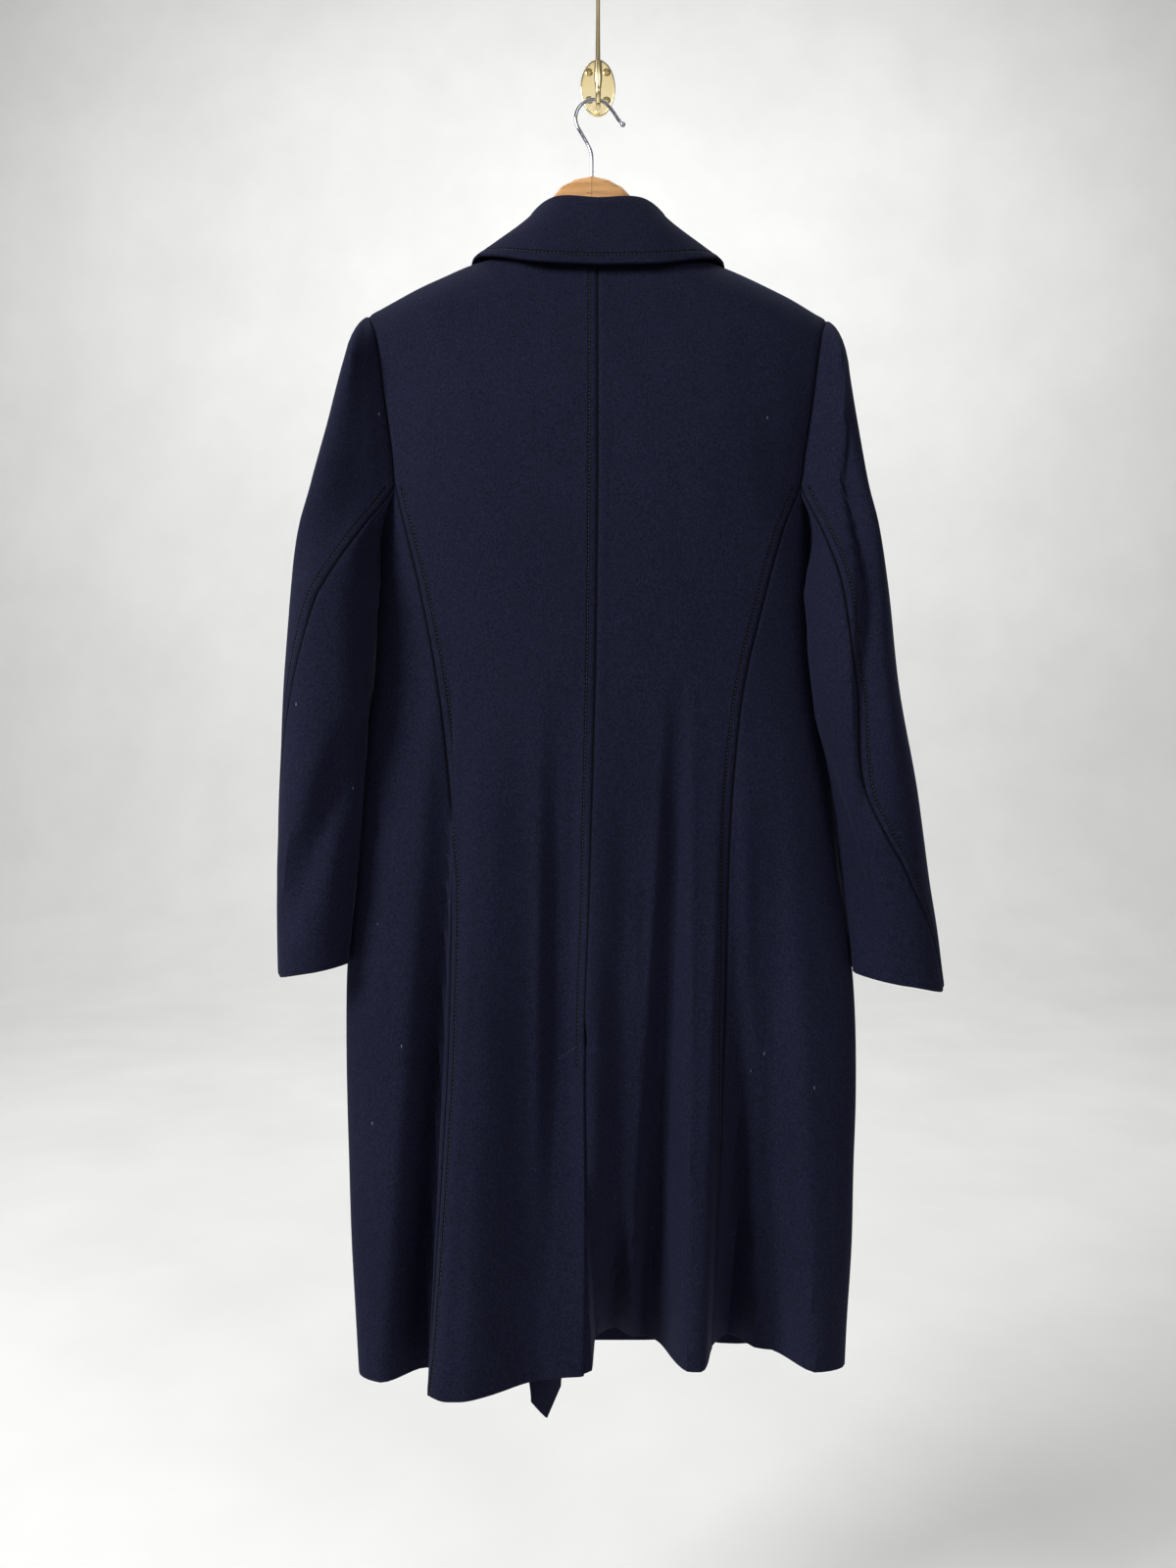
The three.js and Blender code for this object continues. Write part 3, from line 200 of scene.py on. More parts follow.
FRONT_FOLDS = table(
    FOLD_COLUMNS,
    (-640, -140, -150, 24, 44, 0.2, -24, 0, 1.0, 0, 1),
    (-700, -92, -90, 20, 34, 0.1, 9, 0, 1.0, 0, 1),
    (-660, 122, 128, 22, 46, 0.1, -9, 0, 1.0, 0, 1),
    (-720, 76, 76, 16, 26, 0.1, 8, 0, 1.0, 0, 1),
)
# How much lower the hem hangs at the back, from the left side to the vent.
HEM_DROP = table("x drop", (-154, 13), (-143, 5), (-120, 5), (-83, 4), (-57, 3), (-35, 1), (-14, 0))


# %% The body's surface
def angle_of(x, z, front):
    """Angles run round the body: 0 is the middle of the back, 90 degrees its right, 180 the front."""
    left, right = at(BODY, z, "left"), at(BODY, z, "right")
    back = np.arcsin(np.clip((2 * x - left - right) / (right - left), -1, 1))
    return np.where(np.asarray(x) < 0, -np.pi, np.pi) - back if front else back


def shoulder_z(x):
    t = np.maximum(0, np.abs(x) - NECK[0]) / (TIP[0] - NECK[0])
    return lerp(NECK[1], TIP[1], t) + ARCH * np.sin(np.pi * np.minimum(1, t)) - TILT * x


def top_edge(x, front):
    in_neck = np.where(front, 0, np.maximum(0, 1 - (x / NECK[0]) ** 2))
    return SHOULDER_Y - 26 * in_neck, shoulder_z(x) - 15 * in_neck


def fold_moves(folds, x, z):
    out, lean = np.zeros_like(x), np.zeros_like(x)
    for i in range(len(folds["top"])):
        fold = {name: folds[name][i] for name in folds}
        down = share(z, fold["top"], HEM_BACK)
        away = (x - lerp(fold["x0"], fold["x1"], down)) / lerp(fold["w0"], fold["w1"], down)
        away = np.where(away > 0, away / fold["skew"], -away)
        across = 1 - smooth((away - fold["flat"]) / (1 - fold["flat"]))
        shape = across * (np.sin(np.pi * down) ** 2 if fold["fade"] else down ** fold["power"])
        out += fold["out"] * shape
        lean += fold["lean"] * shape
    return out, lean


def body(angle, z):
    """A point of the coat's outer face, at an angle round the body and a height."""
    angle, z = np.broadcast_arrays(np.asarray(angle, float), np.asarray(z, float))
    left, right, side = (at(BODY, z, column) for column in ("left", "right", "side"))
    front = np.cos(angle) < 0
    deep = np.where(front, at(BODY, z, "front"), at(BODY, z, "back")) - side
    x = (left + right) / 2 + (right - left) / 2 * np.sin(angle)
    y = side + deep * np.maximum(0, 1 - np.abs(np.sin(angle)) ** SQUARE) ** (1 / SQUARE)
    back_out, back_lean = fold_moves(BACK_FOLDS, x, z)
    front_out, front_lean = fold_moves(FRONT_FOLDS, x, z)
    y = y + np.where(front, front_out, back_out)
    leant = x + np.where(front, front_lean, back_lean)
    edge_y, edge_z = top_edge(x, front)
    below = np.clip((edge_z - z) / np.where(front, 22, 52), 0, 1)
    return points(leant, lerp(edge_y, y, np.sqrt(1 - (1 - below) ** 2)), z)


def body_normal(angle, z):
    across = body(angle + 0.003, z) - body(angle - 0.003, z)
    down = body(angle, z - 0.5) - body(angle, z + 0.5)
    return unit(np.cross(down, across))


def on_back(x, z):
    return body(angle_of(x, z, False), z)


def on_front(x, z):
    return body(angle_of(x, z, True), z)


def hem_z(angle):
    left, right = at(BODY, HEM_BACK, "left"), at(BODY, HEM_BACK, "right")
    x = (left + right) / 2 + (right - left) / 2 * np.sin(angle)
    return lerp(HEM_BACK - at(HEM_DROP, x, "drop", "x"), HEM_FRONT, (1 - np.cos(angle)) / 2)


middle = on_back(0.0, -700.0)
print("the back stands", round(float(-middle[1])), "mm off the wall at the waist")

# %% [markdown]
# ## The armhole
#
# Body panels and sleeve pieces all end on one loop, the armhole. Above the notch it is where the long
# seams reach the shoulder, and below it runs under the arm. Round this loop the edges face outward from
# its middle, so that the cloth's thickness of neighbours lies side by side.

# %% The armhole
HANDS = {"left": -1, "right": 1}
ARM_AXIS = (-42, -350)


def side_of(hand):
    return "left" if hand < 0 else "right"


TIP_X = {hand: abs(float(at(SEAMS, shoulder_z(hand * TIP[0]), side_of(hand)))) for hand in (-1, 1)}
TIP_Z = {hand: float(shoulder_z(hand * TIP_X[hand])) for hand in (-1, 1)}


def arm_back(hand, z):
    return on_back(at(SEAMS, z, side_of(hand)), z)


def arm_front(hand, z):
    return on_front(hand * at(FRONT_ARMHOLE, z, "x"), z)


def arm_under_angle(hand, s):
    back = angle_of(at(SEAMS, NOTCH, side_of(hand)), NOTCH, False) * hand
    front = angle_of(hand * at(FRONT_ARMHOLE, NOTCH, "x"), NOTCH, True) * hand
    return hand * np.where(s < 0.5, lerp(back, SIDE, s * 2), lerp(SIDE, front, s * 2 - 1))


def arm_under(hand, s):
    return body(arm_under_angle(hand, s), NOTCH - (NOTCH - UNDERARM) * np.sin(np.pi * s))


def arm_normal(p):
    return unit(points(0, p[..., 1] - ARM_AXIS[0], (p[..., 2] - ARM_AXIS[1]) / 2.2))


# %% [markdown]
# ## Making a wall of cloth
#
# A cut piece is a grid of faces that an operator makes flat, an extruded copy of it as its inner face,
# and then both are moved to their places. A solidify modifier would do the same for a plain sheet, but
# here neighbours share the direction of their thickness along a seam, so that no edge stands through.


# %% Walls of cloth
def grid_places(bm_verts, across, down):
    """The row and column of each point of a fresh grid, one unit wide."""
    flat = np.array([v.co[:2] for v in bm_verts])
    columns = np.rint((flat[:, 0] + 0.5) * (across - 1)).astype(int)
    rows = np.rint((flat[:, 1] + 0.5) * (down - 1)).astype(int)
    return rows, columns


def move_to(bm_verts, grid, marks=None, layer=None):
    rows, columns = grid_places(bm_verts, grid.shape[1], grid.shape[0])
    for vert, place in zip(bm_verts, grid[rows, columns] * 0.001):
        vert.co = place
    if marks is not None:
        for vert, mark in zip(bm_verts, marks[rows, columns]):
            vert[layer] = mark


def finish_mesh(name, bm, sharp=42):
    """Faces outward, smooth but for sharp bends, as an object at the origin."""
    bmesh.ops.recalc_face_normals(bm, faces=bm.faces)
    mesh = bpy.data.meshes.new(name)
    bm.to_mesh(mesh)
    bm.free()
    mesh.shade_smooth()
    mesh.set_sharp_from_angle(angle=math.radians(sharp))
    piece = bpy.data.objects.new(name, mesh)
    bpy.context.collection.objects.link(piece)
    return piece


def shell(name, outer, inner, marks=None):
    """A closed wall between two grids of points, rows down and columns across, in millimetres.

    marks tell from 0 to 1 how deep a point lies in a groove, where painted shade darkens the cloth's colour.
    """
    down, across = outer.shape[:2]
    bm = bmesh.new()
    layer = bm.verts.layers.float.new("groove")
    bmesh.ops.create_grid(bm, x_segments=across - 1, y_segments=down - 1, size=0.5)
    first = bm.verts[:]
    made = bmesh.ops.extrude_face_region(bm, geom=bm.faces[:], use_keep_orig=True)
    second = [v for v in made["geom"] if isinstance(v, bmesh.types.BMVert)]
    move_to(first, outer, marks, layer)
    move_to(second, inner)
    return finish_mesh(name, bm)


def grid_normals(grid, flip):
    across = np.gradient(grid, axis=1)
    down = np.gradient(grid, axis=0)
    return unit(np.cross(down, across)) * (-1 if flip else 1)


# %% [markdown]
# ## Where the columns of a panel run
#
# Seams and stitching want their columns at fixed distances from a panel's edge, and the cloth between
# only needs even ones. So each row is first walked in fine steps, and its columns are then placed by
# their distance along the cloth. The same thinking sets the rows near a hem.

# %% Columns by distance
SEAM_STEPS = (0, 0.5, 1.2, 2.1, 3.3, 4.8, 6.2, 7.1, 7.6, 8.0, 8.4, 8.9, 9.8, 11.5, 14)
PLAIN_STEPS = (0, 0.5, 1.2, 2.2, 3.6, 5.5, 8)
EDGE_STEPS = (0, 0.25, 0.7, 1.3, 2.2, 4)


def columns_by_distance(point, rows, left, right, middle, fine=240):
    """Shares across for each row, with the distances of every column from both edges."""
    walk = np.linspace(0, 1, fine + 1)
    grid = point(walk[None, :], rows[:, None])
    steps = np.linalg.norm(np.diff(grid, axis=1), axis=-1)
    run = np.concatenate([np.zeros((len(rows), 1)), np.cumsum(steps, axis=1)], axis=1)
    total = run[:, -1:]
    inside = np.linspace(0, 1, middle + 2)[None, 1:-1]
    between = left[-1] + inside * (total - left[-1] - right[-1])
    near = np.repeat(np.array([left]), len(rows), 0)
    far = total - np.array([right[::-1]])
    goals = np.concatenate([near, between, far], axis=1)
    shares = np.stack([np.interp(goals[j], run[j], walk) for j in range(len(rows))])
    return shares, goals, total - goals


def flat_size(name, grid):
    """How wide and long a piece is along the cloth, and its area, in metres."""
    wide = np.linalg.norm(np.diff(grid, axis=1), axis=-1).sum(axis=1).max() / 1000
    long = np.linalg.norm(np.diff(grid, axis=0), axis=-1).sum(axis=0).max() / 1000
    a, b = grid[1:, 1:] - grid[:-1, :-1], grid[1:, :-1] - grid[:-1, 1:]
    area = np.linalg.norm(np.cross(a, b), axis=-1).sum() / 2e6
    print(f"{name}: {wide:.3f} by {long:.3f} m, {area:.4f} square metres, {area / wide / long:.2f} of it")
    return wide, long, area


# %% [markdown]
# ## Seams, stitching and soft unevenness
#
# A sewn seam rolls in: both cloths dive into a narrow groove, and the turnings under them lift a strip
# beside it. Topstitching pulls a second, finer groove along that strip. Both are moved into the surface,
# because light has to catch them from every side, and the thread lies in the groove as small spindles.


# %% Relief
def seam_relief(away, deep=1.0, wide=1.5, lift=0.3):
    """How far the surface moves out at a distance from a seam."""
    return lift * smooth((away - 1.5) / 3) * (1 - smooth((away - 7) / 6)) - deep * bump(away, wide)


def stitch_relief(away, at_distance=8.0, deep=0.6):
    return -deep * bump(away - at_distance, 0.75)


# seam_mark and stitch_mark tell where painted shade darkens the cloth's colour: in a seam's groove and along
# its stitching
def seam_mark(away, wide=1.0):
    return bump(away, wide)


def stitch_mark(away, at_distance=8.0):
    return bump(away - at_distance, 1.15)


def edge_relief(away, radius=1.1):
    """The rounding of a folded edge."""
    q = np.clip(1 - away / radius, 0, 1)
    return -radius * 0.8 * (1 - np.sqrt(1 - q**2))


waves = np.random.default_rng(7)
WAVES = [
    (waves.uniform(0.6, 2.2), waves.uniform(-2.6, 2.6), waves.uniform(0, 6.28), waves.uniform(0.35, 1))
    for _ in range(14)
]


def unevenness(grid, size=0.35):
    """Slight waves of soft cloth, the same wherever two pieces meet."""
    total = 0
    for up, over, start, weight in WAVES:
        phase = (grid[..., 2] * up * 0.35 + (grid[..., 0] + 0.4 * grid[..., 1]) * over) * 0.02 + start
        total = total + weight * np.sin(phase * 3.1)
    return size * total / 3


# %% [markdown]
# ## Threads
#
# A stitch is a small spindle of thread, thick in its middle and diving into the cloth at both ends. One
# sphere of a few faces, stretched along the row by its matrix, is enough for each.

# %% Rows of stitches
STITCH = 2.9
STITCH_GAP = 0.9
COLLAR_STITCH = 8.9  # how far the topstitching lies from the collar's edge
BELT_STITCH = 6.0
THREAD = 0.62
SINK = 0.05  # how deep a stitch is pulled into the cloth


def stitches(name, *seams):
    """One object with a row of stitches along each seam, told by its path and the cloth's normals there."""
    bm = bmesh.new()
    for path, normals in seams:
        run = np.concatenate([[0], np.cumsum(np.linalg.norm(np.diff(path, axis=0), axis=1))])
        goals = np.arange((STITCH + STITCH_GAP) / 2, run[-1], STITCH + STITCH_GAP)
        middles = np.stack([np.interp(goals, run, path[:, k]) for k in range(3)], axis=1)
        ups = unit(np.stack([np.interp(goals, run, normals[:, k]) for k in range(3)], axis=1))
        along = unit(np.gradient(middles, axis=0))
        aside = unit(np.cross(ups, along))
        for middle, a, b, up in zip(middles - ups * SINK, along, aside, ups):
            place = Matrix.Identity(4)
            for k, axis in enumerate((b * THREAD / 2, up * THREAD / 2, a * STITCH / 2)):
                place.col[k] = Vector((*axis * 0.001, 0))
            place.col[3] = Vector((*middle * 0.001, 1))
            bmesh.ops.create_uvsphere(bm, u_segments=6, v_segments=4, radius=1, matrix=place)
    piece = finish_mesh(name, bm, 80)
    piece.data.materials.append(thread)
    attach(piece, "root")
    print(name, len(piece.data.polygons), "faces of thread")
    return piece


# %% [markdown]
# ## The cloth's finish
#
# The coat is of melton: wool that is woven, felted and shorn until no weave shows. It is nearly black
# navy, with a soft bloom where fibres stand up and catch the light at a slant, and small flecks of darker
# and lighter wool. The bloom is the shader's sheen, the flecks are noise of two sizes on the object's own
# coordinates, and a finer noise stretched down the coat stands for the nap.


# %% A helper for materials
def material(name, color, rough, metal=0.0, **sockets):
    made = bpy.data.materials.new(name)
    made.use_nodes = True
    shader = made.node_tree.nodes["Principled BSDF"]
    shader.inputs["Base Color"].default_value = (*color, 1)
    shader.inputs["Roughness"].default_value = rough
    shader.inputs["Metallic"].default_value = metal
    for socket, value in sockets.items():
        shader.inputs[socket.replace("_", " ")].default_value = value
    return made, shader


def noise(made, scale, detail=3.0, rough=0.55, stretch=(1, 1, 1)):
    """A noise on the object's coordinates, so many features to the metre."""
    nodes, links = made.node_tree.nodes, made.node_tree.links
    place = nodes.new("ShaderNodeTexCoord")
    mapping = nodes.new("ShaderNodeMapping")
    mapping.inputs["Scale"].default_value = stretch
    texture = nodes.new("ShaderNodeTexNoise")
    texture.inputs["Scale"].default_value = scale
    texture.inputs["Detail"].default_value = detail
    texture.inputs["Roughness"].default_value = rough
    links.new(place.outputs["Object"], mapping.inputs["Vector"])
    links.new(mapping.outputs["Vector"], texture.inputs["Vector"])
    return texture.outputs["Fac"]


def ramp(made, source, *stops):
    """Colours or greys at places from 0 to 1 along a value."""
    node = made.node_tree.nodes.new("ShaderNodeValToRGB")
    elements = node.color_ramp.elements
    while len(elements) < len(stops):
        elements.new(0.5)
    for element, (place, color) in zip(elements, stops):
        element.position = place
        element.color = (*color, 1) if hasattr(color, "__len__") else (color, color, color, 1)
    made.node_tree.links.new(source, node.inputs["Fac"])
    return node.outputs["Color"]


def mix(made, how, factor, a, b):
    node = made.node_tree.nodes.new("ShaderNodeMix")
    node.data_type = "RGBA"
    node.blend_type = how
    for socket, value in ((node.inputs["Factor"], factor), (node.inputs["A"], a), (node.inputs["B"], b)):
        if isinstance(value, bpy.types.NodeSocket):
            made.node_tree.links.new(value, socket)
        else:
            socket.default_value = value
    return node.outputs["Result"]


def relief(made, shader, height, strength, distance, under=None):
    node = made.node_tree.nodes.new("ShaderNodeBump")
    node.inputs["Strength"].default_value = strength
    node.inputs["Distance"].default_value = distance
    made.node_tree.links.new(height, node.inputs["Height"])
    if under is not None:
        made.node_tree.links.new(under, node.inputs["Normal"])
    made.node_tree.links.new(node.outputs["Normal"], shader.inputs["Normal"])
    return node.outputs["Normal"]


# %% Wool
NAVY_DARK = (0.0066, 0.0074, 0.0196)
NAVY = (0.0077, 0.0085, 0.0219)
NAVY_LIGHT = (0.0094, 0.0101, 0.0250)
# painted shade: deep in a seam's groove and along its stitching the cloth's colour is darkened to this share,
# for the shade there
GROOVE_SHADE = 0.12  # how much of its colour the cloth keeps deep in a seam
LINT = (0.16, 0.17, 0.20)  # the few hairs and specks that cling to the cloth
LINT_SCALE = 46.0
LINT_TURN = 0.55

wool, wool_shader = material(
    "melton wool",
    NAVY,
    0.9,
    Specular_IOR_Level=0.08,
    Sheen_Weight=0.06,
    Sheen_Roughness=0.40,
    Sheen_Tint=(0.36, 0.44, 0.80, 1),
)
clouds = ramp(wool, noise(wool, 5, 4), (0.25, NAVY_DARK), (0.5, NAVY), (0.8, NAVY_LIGHT))
fleck = ramp(wool, noise(wool, 620, 2, 0.7), (0.3, 0.55), (0.5, 1.0), (0.72, 1.5))
nap = ramp(wool, noise(wool, 900, 3, 0.6, (1, 1, 0.35)), (0.32, 0.72), (0.66, 1.25))
flecked = mix(wool, "MULTIPLY", 1.0, clouds, fleck)
napped = mix(wool, "MULTIPLY", 1.0, flecked, nap)
# the groove marks darken the colour as painted shade in seams, along stitching, round the sleeve head and
# under the arm
groove = wool.node_tree.nodes.new("ShaderNodeAttribute")
groove.attribute_name = "groove"
darkened = ramp(wool, groove.outputs["Fac"], (0.0, 1.0), (0.85, GROOVE_SHADE))
colored = mix(wool, "MULTIPLY", 1.0, napped, darkened)
lint_lie = wool.node_tree.nodes.new("ShaderNodeMapping")
lint_lie.inputs["Rotation"].default_value = (0, LINT_TURN, 0)
lint_lie.inputs["Scale"].default_value = (1, 1, 0.25)
lint_place = wool.node_tree.nodes.new("ShaderNodeTexCoord")
lint_cells = wool.node_tree.nodes.new("ShaderNodeTexVoronoi")
lint_cells.inputs["Scale"].default_value = LINT_SCALE
wool.node_tree.links.new(lint_place.outputs["Object"], lint_lie.inputs["Vector"])
wool.node_tree.links.new(lint_lie.outputs["Vector"], lint_cells.inputs["Vector"])
lint = ramp(wool, lint_cells.outputs["Distance"], (0.014, LINT), (0.022, (0, 0, 0)))
linted = mix(wool, "ADD", 1.0, colored, lint)
wool.node_tree.links.new(linted, wool_shader.inputs["Base Color"])
felt = relief(wool, wool_shader, noise(wool, 780, 4, 0.7, (1, 1, 0.5)), 0.5, 0.0005)
relief(wool, wool_shader, noise(wool, 130, 3, 0.6), 0.22, 0.0008, felt)

thread, thread_shader = material("sewing thread", (0.006, 0.007, 0.018), 0.62, Sheen_Weight=0.1)
thread_tone = ramp(thread, noise(thread, 1500, 2), (0.3, (0.008, 0.009, 0.018)), (0.7, (0.018, 0.020, 0.038)))
thread.node_tree.links.new(thread_tone, thread_shader.inputs["Base Color"])


def dress(piece, finish):
    piece.data.materials.clear()
    piece.data.materials.append(finish)
    return piece


# %% [markdown]
# ## Laying out a panel
#
# All panels are made in the same way: their rows are told by a number that is below 0 on the shoulder
# and runs from 0 at the notch to 1 at the hem, their columns come from the helper above, and relief is
# added along the normals. What differs is only the function that gives their points.

# %% Rows of a panel
SHOULDER_DEPTHS = (0, 3, 11, 26, 52)
SHOULDER_ROWS = -7 + np.interp(
    [0, 0.25, 0.8, 1.6, 3, 5, 7.5, 11, 15, 20, 26, 33, 41, 52], SHOULDER_DEPTHS, [0, 1, 2, 3, 4]
)
UPPER_ROWS = np.linspace(-3, 0, 22)[1:-1]
SKIRT_ROWS = np.linspace(0, 1, 132)[:-1]
PANEL_RUN = 813  # how far the rows of a panel run from the notch to the hem
HEM_STEPS = 1 - np.array(EDGE_STEPS[::-1]) / PANEL_RUN
PANEL_ROWS = np.concatenate([SHOULDER_ROWS, UPPER_ROWS, SKIRT_ROWS, HEM_STEPS])
LOWER_ROWS = np.concatenate([SKIRT_ROWS, HEM_STEPS])


def row_height(row, top):
    place = row + 7
    first = top - np.interp(place, [0, 1, 2, 3, 4], SHOULDER_DEPTHS)
    return np.where(place <= 4, first, lerp(top - SHOULDER_DEPTHS[4], NOTCH, (place - 4) / 3))


def between(x0, x1, s):
    gap = GAP / 2 * np.sign(x1 - x0)
    return lerp(x0 + gap, x1 - gap, s)


def hem_away(rows):
    return (1 - rows)[:, None] * PANEL_RUN


def panel(name, point, rows, flip, left, right, middle, relief_of, edge=None, marks_of=None):
    """A cut panel: returns its object, its outer points and their normals."""
    shares, from_left, from_right = columns_by_distance(point, rows, left, right, middle)
    grid = point(shares, rows[:, None])
    normals = grid_normals(grid, flip)
    if edge is not None:
        normals = edge(shares, rows[:, None], from_left, from_right, grid, normals)
    moved = relief_of(from_left, from_right, rows[:, None], grid)
    outer = grid + normals * moved[..., None]
    inner = grid - normals * CLOTH
    marks = marks_of(from_left, from_right, rows[:, None], grid) if marks_of else np.zeros(outer.shape[:2])
    piece = dress(shell(name, outer, inner, np.broadcast_to(marks, outer.shape[:2])), wool)
    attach(piece, "root")
    return piece, outer, normals, from_left, from_right


STITCHED = SEAM_STEPS.index(8.0)  # the column of a panel that its topstitching follows


def beside(made, column, wanted):
    """The path of a row of stitches down one column of a panel, on the rows that are wanted."""
    outer, normals = made[1], made[2]
    return outer[wanted, column], normals[wanted, column]


def to_armhole(weight, normals, grid):
    """Normals that turn to those of the armhole as the weight grows to 1."""
    weight = np.broadcast_to(weight, grid.shape[:2])[..., None]
    return unit(lerp(normals, arm_normal(grid), weight))


# %% [markdown]
# ## The back
#
# Two back panels meet in a seam down the middle, topstitched on its left. Below the waist the seam opens
# into a vent: the left panel ends in a folded edge, and the right one reaches on under it.

# %% The back panels
VENT = {"seam": -922, "dipped": -937, "lapped": -949, "full": -985, "lap": 36, "share": 0.09, "dip": 2.9}


def back_point(hand, s, row):
    s, row = np.broadcast_arrays(s, row)

    def x_at(z):
        return between(at(SEAMS, z, side_of(hand)), at(SEAMS, z, "middle"), s)

    top_x = x_at(TIP_Z[hand])
    edge_y, edge_z = top_edge(top_x, False)
    guess = np.where(row < 0, row_height(row, edge_z), lerp(NOTCH, HEM_BACK, row))
    x = x_at(np.where(row < 0, row_height(row, TIP_Z[hand]), guess))
    angle = angle_of(x, guess, False)
    z = np.where(row < 0, guess, lerp(NOTCH, hem_z(angle), row))
    p = body(angle, z)
    return np.where((row <= -7 + 1e-9)[..., None], points(top_x, edge_y - GAP / 2, edge_z), p)


def left_back_point(s, row):
    return back_point(-1, s, row)


def right_back_point(s, row):
    """The right back reaches on under the left one below the top of the vent."""
    s, row = np.broadcast_arrays(s, row)
    lapped = share(s, 1, 1 - VENT["share"])
    flat = back_point(1, s, row)
    z = flat[..., 2]
    dipped = share(z, VENT["seam"], VENT["dipped"])
    opened = share(z, VENT["lapped"], VENT["full"])
    seam = at(SEAMS, z, "middle")
    x = lerp(flat[..., 0], lerp(seam - VENT["lap"], flat[..., 0], lapped), opened)
    angle = angle_of(x, z, False)
    deep = VENT["dip"] * dipped * share(x, seam + 14, seam + 2)
    under = body(angle, z) - body_normal(angle, z) * deep[..., None]
    plain = (dipped == 0) | (lapped == 1)
    return np.where(plain[..., None], flat, under)


def back_edge(edge_side):
    """Along the armhole the panel's thickness turns to that of the armhole, and on top it stands up."""

    def turned(shares, row, from_left, from_right, grid, normals):
        above = np.where(row <= 1e-6, 1.0, 0.0) * np.ones_like(from_left)
        weight = above * (1 - smooth(from_left / 7))
        normals = to_armhole(weight, normals, grid)
        up = points(np.sign(grid[..., 0]) * 0.41, 0, 0.91)
        top = 1 - share(row + 7, 0, 0.3) * np.ones_like(from_left)
        return unit(lerp(normals, unit(up), top[..., None]))

    return turned


def back_relief(hand):
    def moved(from_left, from_right, row, grid):
        z = grid[..., 2]
        open_vent = share(z, -945, -955)
        seam = seam_relief(from_right) * (1 - open_vent)
        if hand < 0:
            seam = seam + stitch_relief(from_right) * (1 - share(z, -962, -968))
            seam = seam + open_vent * edge_relief(from_right)
        side_seam = seam_relief(from_left, 1.1) + stitch_relief(from_left) * (row > 0)
        return seam + side_seam + edge_relief(hem_away(row[:, 0])) + unevenness(grid)

    return moved


# painted shade along the back's seams and stitching, fading out where the vent opens
def back_marks(hand):
    def marks(from_left, from_right, row, grid):
        z = grid[..., 2]
        closed = 1 - share(z, -940, -950)
        middle = seam_mark(from_right) * closed
        if hand < 0:
            middle = np.maximum(middle, stitch_mark(from_right) * (1 - share(z, -962, -968)))
        return np.maximum(middle, np.maximum(seam_mark(from_left), stitch_mark(from_left) * (row > 0)))

    return marks


backs = {}
for hand, point in ((-1, left_back_point), (1, right_back_point)):
    backs[side_of(hand)] = panel(
        f"back_panel_{side_of(hand)}",
        point,
        PANEL_ROWS,
        hand > 0,
        SEAM_STEPS,
        SEAM_STEPS,
        44,
        back_relief(hand),
        back_edge(0),
        back_marks(hand),
    )

# %% [markdown]
# ### Stitches of the back
#
# Rows of topstitching run beside the middle seam and the two long seams, and a short slanting row holds
# the vent's top. The rows follow a column of their panel, which already lies at the right distance.

# %% Stitches of the back
VENT_START = (-17.0, -946.0)
VENT_END = (-39.0, -961.0)

below_notch = PANEL_ROWS > 0.004
heights = backs["left"][1][:, -STITCHED - 1, 2]
down_middle = (heights > -966) & (heights < -204)
slant = np.linspace(0, 1, 12)
slant_heights = lerp(VENT_START[1], VENT_END[1], slant)
slant_angle = angle_of(lerp(VENT_START[0], VENT_END[0], slant), slant_heights, False)
slant_normals = body_normal(slant_angle, slant_heights)
stitches(
    "stitches_back_left",
    beside(backs["left"], STITCHED, below_notch),
    beside(backs["left"], -STITCHED - 1, down_middle),
    (body(slant_angle, slant_heights) + slant_normals * 0.3, slant_normals),
)
stitches("stitches_back_right", beside(backs["right"], STITCHED, below_notch))

# %% [markdown]
# ## The side panels
#
# A side panel fills the space between the long back seam and the side seam, which lies just beyond where
# the body turns away. Its top is the back half of the armhole's lower part.


# %% The side panels
def side_point(hand, s, row):
    s, row = np.broadcast_arrays(s, row)
    top = NOTCH - (NOTCH - UNDERARM) * np.sin(np.pi / 2 * s)
    guess = lerp(NOTCH, HEM_BACK, row)
    seam = at(SEAMS, guess, side_of(hand)) + hand * GAP / 2
    angle = lerp(angle_of(seam, guess, False), hand * SIDE, s * 0.9998)
    level = lerp(NOTCH, hem_z(angle), row)
    return body(angle, np.minimum(level, lerp(top, level, share(row, 0, 0.0763))))


def side_relief(from_left, from_right, row, grid):
    seams = seam_relief(from_left, 1.1, lift=0) + seam_relief(from_right, 0.8)
    return seams + edge_relief(hem_away(row[:, 0])) + unevenness(grid)


def under_edge(shares, row, from_left, from_right, grid, normals):
    return to_armhole(1 - share(row, 0, 0.012), normals, grid)


sides = {}
for side, hand in HANDS.items():
    sides[side] = panel(
        f"side_panel_{side}",
        lambda s, row, hand=hand: side_point(hand, s, row),
        LOWER_ROWS,
        hand < 0,
        PLAIN_STEPS,
        PLAIN_STEPS,
        20,
        side_relief,
        under_edge,
        lambda a, b, row, grid: np.maximum(seam_mark(a), seam_mark(b)),
    )

# %% [markdown]
# ## The fronts and lapels
#
# The fronts face the wall. Each ends in the roll of its lapel and, lower down, in a straight edge that
# passes the middle; the left one lies over the right. A lapel is the front's own cloth turned back, so it
# lies one layer off the front and swells a little between its roll and its edge.

# %% The fronts
UNDER = {"top": -480, "full": -497, "from": 80, "to": 62, "dip": 4.7}


def front_outer(hand, z):
    above = angle_of(hand * at(FRONT_ARMHOLE, z, "x"), z, True)
    round_arm = arm_under_angle(hand, 1 - np.arcsin(share(z, NOTCH, UNDERARM)) / np.pi)
    return np.where(z >= NOTCH, above, np.where(z <= UNDERARM, hand * SIDE, round_arm))


